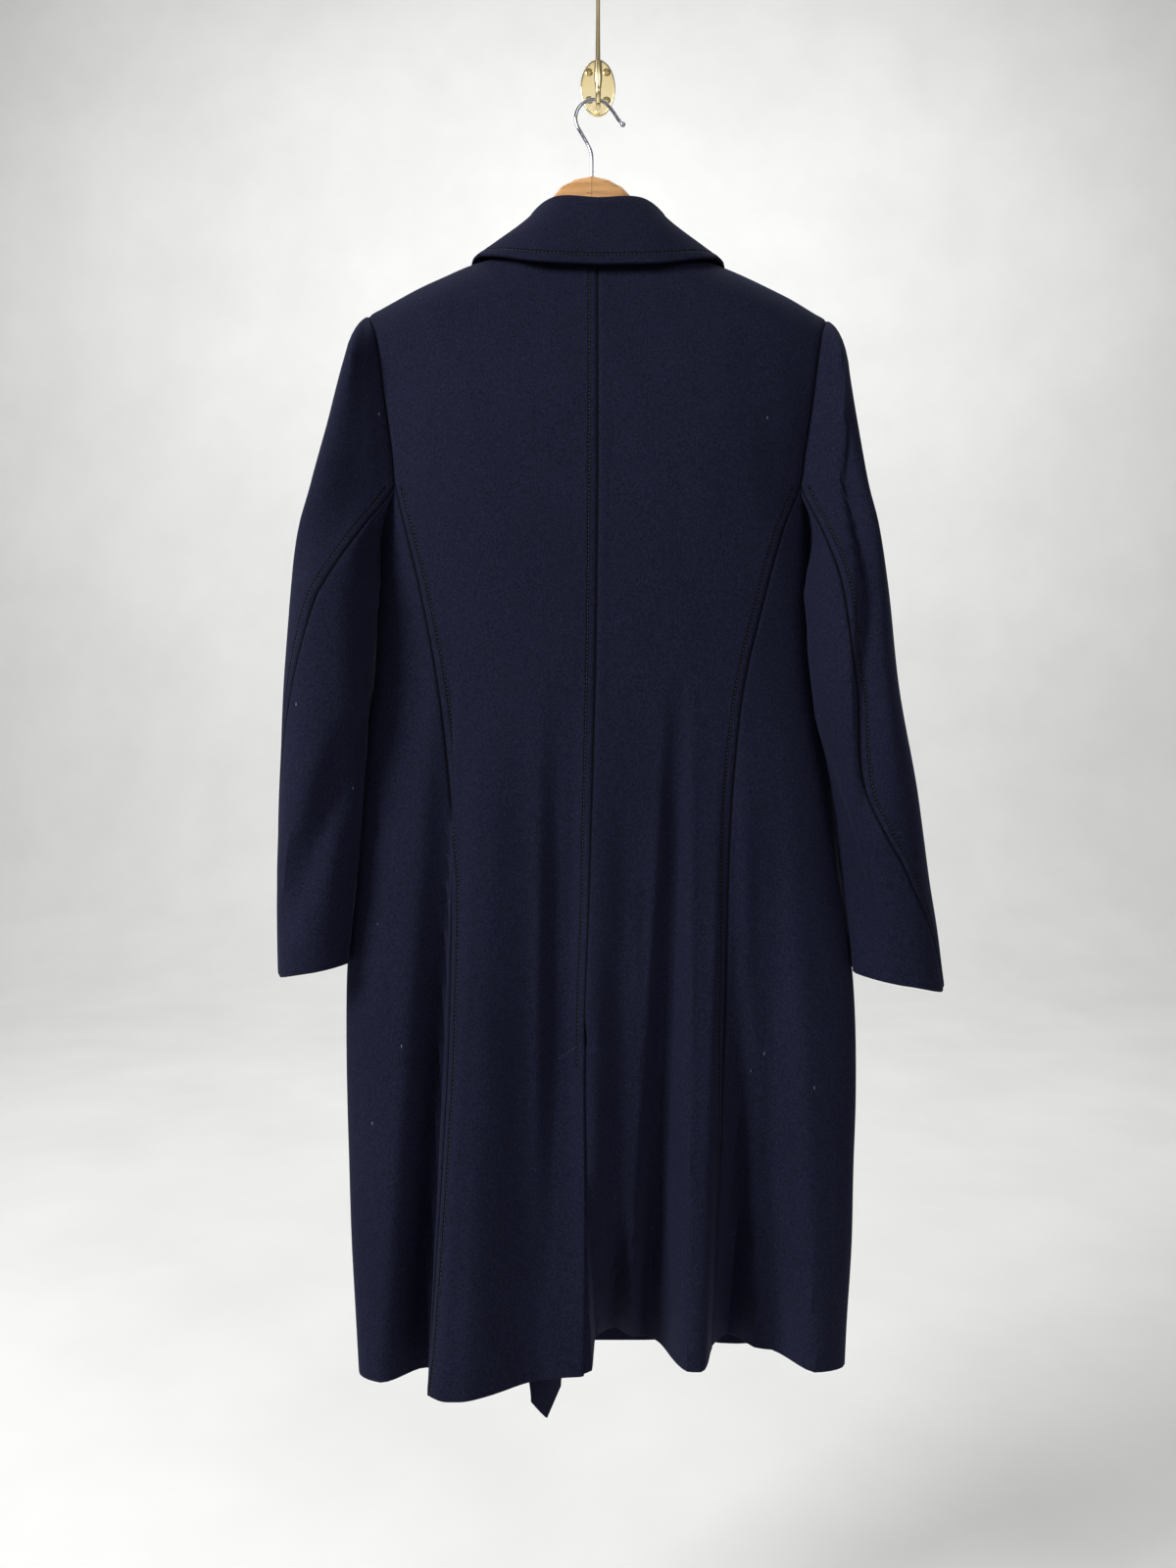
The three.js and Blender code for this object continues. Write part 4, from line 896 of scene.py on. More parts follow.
def front_surface(hand, angle, z, out=0.0):
    p = body(angle, z)
    across = share(p[..., 0], UNDER["from"], UNDER["to"]) if hand > 0 else 0.0
    dip = UNDER["dip"] * across * share(z, UNDER["top"], UNDER["full"])
    return p + body_normal(angle, z) * np.asarray(out - dip)[..., None]


def front_point(hand, s, row):
    s, row = np.broadcast_arrays(s, row)
    top_x = hand * between(TIP_X[hand], NECK[0], s)
    guess = np.where(row < 0, row_height(row, shoulder_z(top_x)), lerp(NOTCH, HEM_FRONT, row))
    low_guess = np.where(row < 0, row_height(row, TIP_Z[hand]), guess)
    outer = front_outer(hand, low_guess) + hand * 0.0002 * (1 - s)
    edge = angle_of(hand * at(FRONT_EDGE, guess, "x"), guess, True)
    edge = np.where(hand * edge < 0, edge + hand * 2 * np.pi, edge)
    around = lerp(outer, edge, s)
    z = np.where(row < 0, guess, lerp(NOTCH, hem_z(around), row))
    low = front_surface(hand, around, z)
    arm_x = at(FRONT_ARMHOLE, row_height(row, TIP_Z[hand]), "x")
    straight = hand * between(arm_x, at(FRONT_EDGE, z, "x"), s)
    across = lerp(straight, body(around, z)[..., 0], smooth(share(row, -3, 0)))
    high = front_surface(hand, angle_of(across, z, True), z)
    p = np.where((row < 0)[..., None], high, low)
    return np.where((row <= -7 + 1e-9)[..., None], points(top_x, SHOULDER_Y + GAP / 2, shoulder_z(top_x)), p)


def front_relief(from_left, from_right, row, grid):
    seam = seam_relief(from_left, 0.8) + edge_relief(from_right)
    stitched = stitch_relief(from_right) * share(row, 0.09, 0.1)
    return seam + stitched + edge_relief(hem_away(row[:, 0])) + unevenness(grid)


def front_edge(shares, row, from_left, from_right, grid, normals):
    weight = (1 - smooth(from_left / 7)) * np.where(row < 0.05, 1.0, 0.0)
    normals = to_armhole(weight, normals, grid)
    up = points(np.sign(grid[..., 0]) * 0.41, 0, 0.91)
    top = 1 - share(row + 7, 0, 0.3) * np.ones_like(from_left)
    return unit(lerp(normals, unit(up), top[..., None]))


fronts = {}
for side, hand in HANDS.items():
    fronts[side] = panel(
        f"front_panel_{side}",
        lambda s, row, hand=hand: front_point(hand, s, row),
        PANEL_ROWS,
        hand < 0,
        PLAIN_STEPS,
        SEAM_STEPS,
        34,
        front_relief,
        front_edge,
        lambda a, b, row, grid: np.maximum(seam_mark(a), stitch_mark(b) * (row > 0.1)),
    )
    stitches(f"stitches_front_{side}", beside(fronts[side], -STITCHED - 1, PANEL_ROWS > 0.1))

# %% [markdown]
# ### The lapels
#
# A lapel is the front's own cloth, folded over along its roll line. It could be bent from the front's
# mesh, but a panel of its own keeps the roll line clean, so it is laid from the roll line outward.

# %% The lapels
LAPEL = table(
    "u x z",
    (0, 100, -266),
    (0.1, 122, -290),
    (0.3, 106, -346),
    (0.6, 66, -424),
    (0.85, 32, -476),
    (1, 15, -494),
)


def lapel_point(hand, v, u):
    v, u = np.broadcast_arrays(v, u)
    roll_z = lerp(-233, -484, u)
    x = lerp(at(FRONT_EDGE, roll_z, "x"), at(LAPEL, u, "x", "u"), v)
    z = lerp(roll_z, at(LAPEL, u, "z", "u"), v) - TILT * hand * x
    out = LAYER - 0.1 + 1.6 * np.sin(np.pi * v)
    return front_surface(hand, angle_of(hand * x, z, True), z, out)


def lapel_relief(from_left, from_right, row, grid):
    return edge_relief(from_left) + stitch_relief(from_left) * share(row, 0.04, 0.08)


lapels = {}
for side, hand in HANDS.items():
    lapels[side] = panel(
        f"lapel_{side}_cloth",
        lambda s, u, hand=hand: lapel_point(hand, 1 - s, u),
        np.linspace(0, 1, 46),
        hand < 0,
        SEAM_STEPS,
        (0, 0.6, 1.6),
        14,
        lapel_relief,
        None,
        lambda a, b, row, grid: stitch_mark(a) * share(row, 0.04, 0.08),
    )
    stitches(f"stitches_lapel_{side}", beside(lapels[side], STITCHED, np.linspace(0, 1, 46) > 0.08))

# %% [markdown]
# ## The collar
#
# The collar stands up from the neck seam, turns over at its fold and falls back over the shoulders. Its
# cross section is a smooth curve through six points that slide along the collar, which keeps the fold
# round and lets the fall lie close to the back.

# %% The collar
COLLAR = table(
    "v fx fy fz ex ey ez",
    (0, 0, -72, -146, 0, -89, -217),
    (0.26, 40, -66, -142.5, 60, -88, -214),
    (0.46, 63, -50, -150, 103, -72, -202),
    (0.62, 71, -36, -163, 124, -42, -194),
    (0.8, 73, -17, -181, 127, -13.5, -222),
    (1, 70, -14, -213, 112, -13.5, -262),
)


def neck_seam(v, hand):
    turn = 0.55
    lift = 0.46 + 3.1 * np.maximum(0, 1 - np.abs(v - 0.6) / 0.12)
    x = hand * (NECK[0] + 0.6) * np.sin(np.minimum(v / turn, 1) * np.pi / 2)
    edge_y, edge_z = top_edge(hand * np.minimum(NECK[0], np.abs(x)), False)
    round_neck = points(x, edge_y - 1, edge_z + lift)
    q = np.clip((v - turn) / (1 - turn), 0, 1)
    z = lerp(NECK[1], -226, q) - TILT * hand * NECK[0]
    down_front = on_front(hand * (at(FRONT_EDGE, z, "x") + 0.6), z)
    down_front = down_front + points(0, lift * np.minimum(1, q * 2), lift * (1 - q))
    return np.where((v <= turn)[..., None], round_neck, down_front)


def through(knots, t):
    """A smooth curve through a list of points, spaced by their distances (centripetal)."""
    knots = [2 * knots[0] - knots[1], *knots, 2 * knots[-1] - knots[-2]]
    place = np.clip(t, 0, 1) * (len(knots) - 3)
    first = np.minimum(place.astype(int), len(knots) - 4)
    w = (place - first)[..., None]
    stacked = np.stack([np.broadcast_to(k, (*np.shape(t), 3)) for k in knots])
    p = [np.take_along_axis(stacked, (first + i)[None, ..., None], 0)[0] for i in range(4)]
    d = [np.maximum(np.linalg.norm(p[i + 1] - p[i], axis=-1, keepdims=True) ** 0.5, 1e-3) for i in range(3)]
    m1 = ((p[1] - p[0]) / d[0] - (p[2] - p[0]) / (d[0] + d[1]) + (p[2] - p[1]) / d[1]) * d[1]
    m2 = ((p[2] - p[1]) / d[1] - (p[3] - p[1]) / (d[1] + d[2]) + (p[3] - p[2]) / d[2]) * d[1]
    c2 = -3 * p[1] + 3 * p[2] - 2 * m1 - m2
    c3 = 2 * p[1] - 2 * p[2] + m1 + m2
    return p[1] + m1 * w + c2 * w**2 + c3 * w**3


def collar_point(s, t):
    s, t = np.broadcast_arrays(s, t)
    hand = np.where(s < 0.5, -1, 1)
    v = np.abs(2 * s - 1)
    fold, edge = (
        points(hand * at(COLLAR, v, a, "v"), at(COLLAR, v, b, "v"), at(COLLAR, v, c, "v"))
        for a, b, c in (("fx", "fy", "fz"), ("ex", "ey", "ez"))
    )
    for p in (fold, edge):
        p[..., 2] -= TILT * p[..., 0]
    inward = unit(points(fold[..., 0] - edge[..., 0], fold[..., 1] - edge[..., 1], 0))
    low = np.array([0, 0, -5.0])
    inner_fold, outer_fold = fold + inward * 3.7 + low, fold - inward * 3.7 + low
    fall = lerp(outer_fold, edge, 0.5) - inward * 3
    p = through([neck_seam(v, hand), inner_fold, fold, outer_fold, fall, edge], t)
    over = share(t, 0.5, 0.62) * share(v, 0.56, 0.64) * share(shoulder_z(p[..., 0]) - p[..., 2], -8, -2)
    lying = on_front(p[..., 0], np.minimum(p[..., 2], shoulder_z(p[..., 0])))[..., 1] + LAYER + 1.7
    p[..., 1] = np.where(over > 0, np.maximum(p[..., 1], lerp(p[..., 1], lying, over)), p[..., 1])
    return p


def collar_rows():
    """Shares across the collar: even over stand and fold, and fine by the outer edge and its stitching."""
    walk = np.linspace(0, 1, 400)
    path = collar_point(np.full(400, 0.5), walk)
    run = np.concatenate([[0], np.cumsum(np.linalg.norm(np.diff(path, axis=0), axis=1))])
    goals = np.concatenate([np.linspace(0, run[-1] - 16, 44), run[-1] - np.array(SEAM_STEPS[::-1])])
    return np.interp(goals, run, walk), run[-1] - goals


collar_shares, collar_away = collar_rows()
collar_columns = np.concatenate(
    [[0, 0.0006, 0.0016, 0.003, 0.006], np.linspace(0.012, 0.988, 131), [0.994, 0.997, 0.9984, 0.9994, 1]]
)
collar_grid = collar_point(collar_columns[None, :], collar_shares[:, None])
collar_normals = grid_normals(collar_grid, False)
seam_level = unit(collar_normals[0] * np.array([1, 1, 0]))
collar_turn = (1 - share(np.arange(len(collar_shares)), 0, 4))[:, None, None]
collar_normals = unit(lerp(collar_normals, seam_level[None], collar_turn))
end_away = np.minimum(collar_columns, 1 - collar_columns)[None, :] * 520
moved = edge_relief(collar_away[:, None]) + edge_relief(end_away)
moved = moved + stitch_relief(collar_away[:, None], COLLAR_STITCH, 0.5)
moved = moved + 0.25 * smooth((collar_away[:, None] - 1) / 3) * (1 - smooth((collar_away[:, None] - 7) / 4))
collar_outer = collar_grid + collar_normals * moved[..., None]
# painted shade along the collar's stitching
collar_marks = np.broadcast_to(stitch_mark(collar_away[:, None], COLLAR_STITCH), collar_outer.shape[:2])
collar = dress(shell("collar_cloth", collar_outer, collar_grid - collar_normals * CLOTH, collar_marks), wool)
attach(collar, "root")
collar_row = -SEAM_STEPS.index(COLLAR_STITCH) - 1
stitches("stitches_collar", (collar_outer[collar_row, 5:-5], collar_normals[collar_row, 5:-5]))

# %% [markdown]
# ## The sleeves
#
# A tailored sleeve is cut in two: a broad upper piece whose head is eased over the shoulder's end, and a
# narrow under piece. Both hang straight down and swing a little forward from the elbow. Their level
# sections come from a table, with a few folds that turn round the sleeve on their way down.

# %% Sleeve sections
SLEEVE_COLUMNS = "z x y thick broad back front"
SLEEVE = {
    -1: table(
        SLEEVE_COLUMNS,
        (-290, 209, -56, 33, 44, 118, 248),
        (-345, 215, -58, 41, 48, 116, 250),
        (-423, 230.5, -62, 44.5, 54, 114, 252),
        (-465, 244, -66, 41, 59, 106, 252),
        (-524, 253.5, -70, 37, 61, 92, 254),
        (-616, 260.5, -72, 36.5, 61, 62, 256),
        (-708, 264.5, -73, 35.5, 60, 34, 258),
        (-800, 268, -73, 35, 59, 14, 258),
        (-900, 269, -73, 33, 58, 4, 258),
    ),
    1: table(
        SLEEVE_COLUMNS,
        (-290, 208, -56, 31, 44, 118, 248),
        (-345, 210.5, -58, 36, 48, 116, 250),
        (-423, 221, -62, 37, 54, 114, 252),
        (-465, 231, -66, 35, 59, 112, 252),
        (-524, 237.5, -70, 35.5, 61, 108, 254),
        (-616, 246.5, -72, 36.5, 61, 104, 256),
        (-708, 261.5, -73, 37.5, 60, 116, 258),
        (-755, 269, -73, 36.5, 59, 98, 258),
        (-800, 275, -73, 36.5, 58, 78, 258),
        (-850, 281, -73, 39, 57, 52, 258),
        (-910, 285, -73, 43, 55, 30, 258),
    ),
}
CUFF = {-1: (-881, 0.2), 1: (-893, 0.28)}
CORNER = 9  # how far the cuffs' outermost corners round up
SLEEVE_FOLDS = {
    -1: table(
        "top low a0 a1 w deep skew",
        (-640, -860, 150, 60, 34, 11, 1),
        (-520, -760, 120, 146, 26, -4, 1),
    ),
    1: table(
        "top low a0 a1 w deep skew",
        (-300, -760, 44, 124, 34, 11, 0.35),
        (-660, -880, 176, 128, 30, 9, 1),
    ),
}
SLEEVE_POWER = 2.35
HEAD_TOP, HEAD_LOW, HEAD_ROUND = 11, 52, 0.55
INNER = 1.22  # a sleeve's half towards the body is this much thicker, as it leans there


def bulge(value):
    return np.sign(value) * np.abs(value) ** (2 / SLEEVE_POWER)


def turn_from(degrees, other):
    return (degrees - other + 540) % 360 - 180


def sleeve_section(hand, degrees, z):
    rows = SLEEVE[hand]
    degrees, z = np.broadcast_arrays(np.asarray(degrees, float), np.asarray(z, float))
    thick, broad = at(rows, z, "thick"), at(rows, z, "broad")
    folds = SLEEVE_FOLDS[hand]
    for i in range(len(folds["top"])):
        q = share(z, folds["top"][i], folds["low"][i])
        turn = turn_from(degrees, lerp(folds["a0"][i], folds["a1"][i], q))
        away = np.where(turn > 0, turn / folds["skew"][i], -turn) / folds["w"][i]
        shape = (1 - smooth(away)) * np.sin(np.pi * q) ** 0.7
        thick = thick - folds["deep"][i] * shape
        broad = broad - folds["deep"][i] * shape
    a = np.radians(degrees)
    thick = thick * np.where(np.cos(a) < 0, lerp(1, INNER, share(z, -440, -530)), 1)
    x = hand * (at(rows, z, "x") + thick * bulge(np.cos(a)))
    return points(x, at(rows, z, "y") - broad * bulge(np.sin(a)), z)


def sleeve_seam(hand, which, z):
    arm = arm_back if which == "back" else arm_front
    z = np.asarray(z, float)
    notch_angle = float(at(SLEEVE[hand], NOTCH, which))
    miss = arm(hand, NOTCH) - sleeve_section(hand, notch_angle, NOTCH)
    fade = 1 - smooth(share(z, NOTCH, -540))
    low = sleeve_section(hand, at(SLEEVE[hand], z, which), z) + miss * fade[..., None]
    return np.where((z >= NOTCH)[..., None], arm(hand, z), low)


def body_reach(hand, y, z):
    left, right, side = (at(BODY, z, column) for column in ("left", "right", "side"))
    deep = np.abs(np.where(y < side, at(BODY, z, "back"), at(BODY, z, "front")) - side)
    t = np.abs(y - side) / deep
    reach = hand * (left + right) * 0.5 + (right - left) / 2 * np.maximum(0, 1 - t**SQUARE) ** (1 / SQUARE)
    return np.where(t >= 1, 0, reach)


def clear_of_body(hand, p, start):
    x, y, z = p[..., 0], p[..., 1], p[..., 2]
    gap = 1.6 * np.clip((z - start) / -30.0, 0, 1) + 1.2 * share(z, -520, -600)
    reach = body_reach(hand, y, z) + gap
    return points(np.where((gap > 0) & (hand * x < reach), hand * reach, x), y, z)


def sleeve_point(hand, degrees, z):
    degrees, z = np.broadcast_arrays(np.asarray(degrees, float), np.asarray(z, float))
    p = sleeve_section(hand, degrees, z)
    for which in ("back", "front"):
        seam = at(SLEEVE[hand], z, which)
        near = 1 - smooth(np.abs(turn_from(degrees, seam)) / 75)
        p = p + (sleeve_seam(hand, which, z) - sleeve_section(hand, seam, z)) * near[..., None]
    return clear_of_body(hand, p, NOTCH)


def cuff_z(hand, degrees):
    z, drop = CUFF[hand]
    out = np.cos(np.radians(degrees))
    return z - drop * 35 * out + CORNER * smooth(share(out, 0.72, 1))


def upper_level(hand, s, z):
    back, front = at(SLEEVE[hand], z, "back"), at(SLEEVE[hand], z, "front") - 360
    return sleeve_point(hand, lerp(back, front, s), z)


# %% The sleeve's head and its two pieces
def head_point(hand, s, q):
    """From the armhole seam out and over to the first level section."""
    tip = TIP_Z[hand]
    top, low = tip - HEAD_TOP, tip - HEAD_LOW
    lift = 1 - np.abs(2 * s - 1)
    seam_z = lerp(top, tip, np.sin(np.pi / 2 * lift))
    behind = (s <= 0.5)[..., None]
    start = np.where(behind, arm_back(hand, seam_z), arm_front(hand, seam_z))
    end = upper_level(hand, s, np.full_like(s, low))
    rounded = HEAD_ROUND * np.sin(np.pi * s) ** 0.8
    aside = lerp(q, np.sin(np.pi / 2 * q), rounded)
    down = lerp(q, 1 - np.cos(np.pi / 2 * q), rounded)
    p = lerp(start, end, np.stack([aside, aside, down], -1))
    z = lerp(top, low, q)
    miss = np.where(
        behind,
        arm_back(hand, z) - lerp(arm_back(hand, top), arm_back(hand, low), q[..., None]),
        arm_front(hand, z) - lerp(arm_front(hand, top), arm_front(hand, low), q[..., None]),
    )
    near = 1 - smooth(share(np.minimum(s, 1 - s), 0, 0.3))
    return p + miss * near[..., None]


def seam_degrees(hand, which, row):
    """The angle at which a seam crosses a row, whose height changes round the sleeve."""
    degrees = np.full(np.shape(row), 90.0)
    for _ in range(8):
        degrees = at(SLEEVE[hand], lerp(NOTCH, cuff_z(hand, degrees), np.clip(row, 0, 1)), which)
    return degrees


def upper_point(hand, s, row):
    s, row = np.broadcast_arrays(s, row)
    tip = TIP_Z[hand]
    span = lerp(0.0006, 0.9994, s)
    in_head = (tip - row_height(row, tip) - HEAD_TOP) / (HEAD_LOW - HEAD_TOP)
    head = head_point(hand, span, np.clip(in_head, 0, 1))
    shoulder = upper_level(hand, span, row_height(np.clip(row, -3, 0), tip))
    degrees = lerp(seam_degrees(hand, "back", row), seam_degrees(hand, "front", row) - 360, span)
    arm = sleeve_point(hand, degrees, lerp(NOTCH, cuff_z(hand, degrees), np.clip(row, 0, 1)))
    p = np.where((row < -3)[..., None], head, np.where((row < 0)[..., None], shoulder, arm))
    near = np.maximum(1 - share(s, 0, 0.1), 1 - share(s, 1, 0.9))
    near = np.where(row < 0, np.maximum(near, row <= -5 + 1e-9), 0)
    return p + points(hand * (GAP + 0.1) * near, 0, 0)


def under_point(hand, s, row):
    s, row = np.broadcast_arrays(s, row)
    rows = SLEEVE[hand]
    arm = arm_under(hand, s)
    span = lerp(0.0006, 0.9994, s)
    degrees = lerp(seam_degrees(hand, "back", row), seam_degrees(hand, "front", row), span)
    level = lerp(NOTCH, cuff_z(hand, degrees), row)
    z = level - (NOTCH - arm[..., 2]) * (1 - share(row, 0, 0.36))
    p = sleeve_point(hand, degrees, z)
    notch_angle = lerp(float(at(rows, NOTCH, "back")), float(at(rows, NOTCH, "front")), s)
    miss = arm - sleeve_point(hand, notch_angle, arm[..., 2])
    p = p + miss * (1 - smooth(share(row, 0, 0.2)))[..., None]
    p = p + points(hand * (GAP + 0.1) * (1 - share(row, 0, 0.05)), 0, 0)
    return clear_of_body(hand, p, arm[..., 2])


SLEEVE_RUN = 460  # about how far the rows of a sleeve run below the notch
ARM_ROWS = np.concatenate([np.linspace(0, 1, 84)[:-1], 1 - np.array(EDGE_STEPS[::-1]) / SLEEVE_RUN])
HEAD_DEPTHS = np.array([11, 11.4, 12, 13, 14.5, 16.5, 19, 22, 26, 31, 37, 44, 52])
HEAD_ROWS = -7 + np.interp(HEAD_DEPTHS, SHOULDER_DEPTHS, [0, 1, 2, 3, 4])
SLEEVE_ROWS = np.concatenate([HEAD_ROWS, np.linspace(-3, 0, 22)[1:-1], ARM_ROWS])


def sleeve_relief(from_left, from_right, row, grid):
    cuff = edge_relief((1 - row) * SLEEVE_RUN)
    head = -0.9 * bump((row + 5) * 12, 2.0) * (row < -3)
    seams = seam_relief(from_left, 1.0) + seam_relief(from_right, 0.8)
    stitched = stitch_relief(from_left) * share(row, 0, 0.01)
    return seams + stitched + cuff + head + unevenness(grid, 0.45)


def under_relief(from_left, from_right, row, grid):
    cuff = edge_relief((1 - row) * SLEEVE_RUN)
    return seam_relief(from_left, 1.0, lift=0) + seam_relief(from_right, 0.8) + cuff


# painted shade along both seams and along the top edge under the arm
def under_marks(from_left, from_right, row, grid):
    top = 1 - share(row * SLEEVE_RUN, 0, 1.6)
    return np.maximum(np.maximum(seam_mark(from_left), seam_mark(from_right)), top)


# painted shade along the long seams, the stitching and the seam round the sleeve's head
def sleeve_marks(from_left, from_right, row, grid):
    long_seams = np.maximum(seam_mark(from_left), seam_mark(from_right))
    head = bump((row + 5) * 12, 1.1) * (row < -3)
    return np.maximum(np.maximum(long_seams, stitch_mark(from_left) * (row > 0)), head)


def sleeve_edge(shares, row, from_left, from_right, grid, normals):
    nearest = np.minimum(from_left, from_right)
    weight = (1 - smooth(nearest / 7)) * np.where(row <= 1e-6, 1.0, 0.0)
    weight = np.maximum(weight, 1 - share(row, -5, -4.75))
    return to_armhole(weight, normals, grid)


uppers, unders = {}, {}
for side, hand in HANDS.items():
    uppers[side] = panel(
        f"sleeve_{side}_upper_piece",
        lambda s, row, hand=hand: upper_point(hand, s, row),
        SLEEVE_ROWS,
        hand < 0,
        SEAM_STEPS,
        PLAIN_STEPS,
        36,
        sleeve_relief,
        sleeve_edge,
        sleeve_marks,
    )
    stitches(f"stitches_sleeve_{side}", beside(uppers[side], STITCHED, SLEEVE_ROWS > 0.01))
    unders[side] = panel(
        f"sleeve_{side}_under_piece",
        lambda s, row, hand=hand: under_point(hand, s, row),
        ARM_ROWS,
        hand > 0,
        PLAIN_STEPS,
        PLAIN_STEPS,
        20,
        under_relief,
        under_edge,
        under_marks,
    )

# %% [markdown]
# ## The belt
#
# The belt is tied at the front, so from the back only one pointed end shows under the hem. Two bands lie
# round the fronts, a flattened knot holds them, and both ends hang down from under it.

# %% The belt's bands and ends
BELT = {"wide": 45, "thick": 2.8, "z": -640, "lift": 3.6}
TAILS = {
    "long": {"x0": -14, "x1": -53, "top": -660.6, "low": -1318, "lift": 10.6, "turn": 52},
    "short": {"x0": 12, "x1": 30, "top": -661.4, "low": -1105, "lift": 3.7, "turn": 0},
}


def band_point(hand, s, t):
    s, t = np.broadcast_arrays(s, t)
    z = BELT["z"] + lerp(BELT["wide"] / 2, -BELT["wide"] / 2, t) * lerp(1, 0.55, share(s, 0.8, 1))
    end = angle_of(hand * 15.0, z, True)
    angle = lerp(hand * (SIDE + math.radians(6)), end, s)
    return body(angle, z) + body_normal(angle, z) * BELT["lift"]


def tail_point(tail, s, t):
    s, t = np.broadcast_arrays(s, t)
    z = lerp(tail["top"], tail["low"], t)
    along = (s - 0.5) * lerp(30, BELT["wide"], share(t, 0, 0.1))
    turn = math.radians(tail["turn"]) * smooth(share(z, -1238, tail["low"]))
    x = lerp(tail["x0"], tail["x1"], smooth(t)) + along * np.cos(turn)
    level = np.maximum(z, HEM_FRONT)
    y = on_front(x, level)[..., 1] + tail["lift"] + along * np.sin(turn)
    tip = 24 * share(t, 0.94, 1) * (1 - np.abs(2 * s - 1))
    return points(x, y, z - tip)


def strip(name, point, across, down, flip):
    grid = point(across[None, :], down[:, None])
    normals = grid_normals(grid, flip)
    wide = np.linalg.norm(grid[:, -1:] - grid[:, :1], axis=-1)
    away = np.minimum(across, 1 - across)[None, :] * wide
    if "band" in name:
        tall = np.linalg.norm(grid[-1:] - grid[:1], axis=-1)
        away = np.minimum(down, 1 - down)[:, None] * tall
    moved = edge_relief(away) + stitch_relief(away, 6.0, 0.35)
    outer = grid + normals * moved[..., None]
    inner = grid - normals * (BELT["thick"] + np.minimum(0, edge_relief(away)))[..., None]
    # painted shade along the belt's stitching
    marks = np.broadcast_to(stitch_mark(away, BELT_STITCH), outer.shape[:2])
    piece = dress(shell(name, outer, inner, marks), wool)
    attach(piece, "root")
    return piece, outer


ACROSS_BELT = np.array([0, 0.25, 0.7, 1.3, 2.2, 4, 5.3, 6, 6.7, 8, 12, 17, 22.5]) / 45
ACROSS_BELT = np.concatenate([ACROSS_BELT, 1 - ACROSS_BELT[-2::-1]])
bands, tails = {}, {}
for side, hand in HANDS.items():
    bands[side] = strip(
        f"belt_band_{side}",
        lambda s, t, hand=hand: band_point(hand, s, t),
        np.linspace(0, 1, 70),
        ACROSS_BELT,
        hand < 0,
    )
for name, tail in TAILS.items():
    down = np.concatenate([np.linspace(0, 0.94, 90), np.linspace(0.94, 1, 14)[1:]])
    tails[name] = strip(
        f"belt_end_{name}", lambda s, t, tail=tail: tail_point(tail, s, t), ACROSS_BELT, down, True
    )


# %% [markdown]
# ### The knot
#
# The two ends of the belt pass through each other once. The knot shows as one rounded lump of cloth, so
# it is made as one closed solid, not as a strip that is really tied.

# %% The knot
def knot():
    """A flattened knot: a rounded pillow with one slanting turn of the belt drawn over it."""
    bm = bmesh.new()
    bmesh.ops.create_uvsphere(bm, u_segments=64, v_segments=40, radius=1)
    size = np.array([25, 8, 21.0])
    power = 0.72
    middle_y = float(body(math.pi, BELT["z"])[1]) + BELT["lift"] - 0.35 + size[1]
    for vert in bm.verts:
        p = np.array(vert.co)
        form = np.sign(p) * np.abs(p) ** power
        slant = p[0] * size[0] + 0.35 * size[2] * p[2]
        waist = 1 - 0.1 * bump(slant / 6 - 1.9, 0.55) - 0.1 * bump(slant / 6 + 1.9, 0.55)
        waist -= 0.05 * bump(slant - 1.5, 1.4)
        vert.co = (form * size * np.array([1, waist, lerp(1, waist, 0.5)]) + (0, middle_y, BELT["z"])) * 0.001
    return finish_mesh("belt_knot_cloth", bm)


belt_knot = dress(knot(), wool)
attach(belt_knot, "root")

# %% [markdown]
# ## Bars: the wire hook and the brass prongs
#
# Both are round bars bent along a path. A curve with a bevel would do, but extruding a ring from station
# to station gives closed solid ends and lets the thickness change freely, as in the ball on the wire.


# %% Bars
def curve_through(path, count):
    """Evenly spaced points along a smooth curve through a path."""
    fine = through([np.array(p, float) for p in path], np.linspace(0, 1, 1500))
    run = np.concatenate([[0], np.cumsum(np.linalg.norm(np.diff(fine, axis=0), axis=1))])
    goals = np.linspace(0, run[-1], count)
    return np.stack([np.interp(goals, run, fine[:, k]) for k in range(3)], axis=1), goals


def bar(name, centres, radii, around=24):
    bm = bmesh.new()
    along = unit(np.gradient(centres, axis=0))
    across = np.cross(along[0], [0.0, 1.0, 0.0] if abs(along[0][1]) < 0.9 else [1.0, 0.0, 0.0])
    angles = np.linspace(0, 2 * np.pi, around, endpoint=False)
    ring = bmesh.ops.create_circle(bm, segments=around, radius=1, cap_ends=True)["verts"]
    face = bm.faces[:][0]
    for i, centre in enumerate(centres):
        across = unit(across - along[i] * np.dot(across, along[i]))
        other = np.cross(along[i], across)
        if i:
            made = bmesh.ops.extrude_discrete_faces(bm, faces=[face])
            face = made["faces"][0]
            ring = list(face.verts)
        for a, vert in zip(angles, ring):
            place = centre + (across * math.cos(a) + other * math.sin(a)) * radii[i]
            vert.co = place * 0.001
    return finish_mesh(name, bm, 60)


HANGER_MIDDLE = -6.3
HANGER_Y = SHOULDER_Y - 1.5
WIRE = 3.4
HOOK_WIRE = (
    (HANGER_MIDDLE, -144), (HANGER_MIDDLE, -107), (-6.6, -88), (-8.5, -81), (-15, -69), (-20.6, -59),
    (-22.2, -51), (-19.6, -42), (-14, -36.2), (-5, -33.2), (2, -33.8), (8.6, -38), (15, -45.3),
    (20.9, -54.2), (26, -59.5),
)

# %% [markdown]
# ### Metal and wood
#
# Chrome and brass are full metals whose colour and roughness wander a little. The beech has its grain
# from a noise that is stretched along the hanger, under a thin clear lacquer.

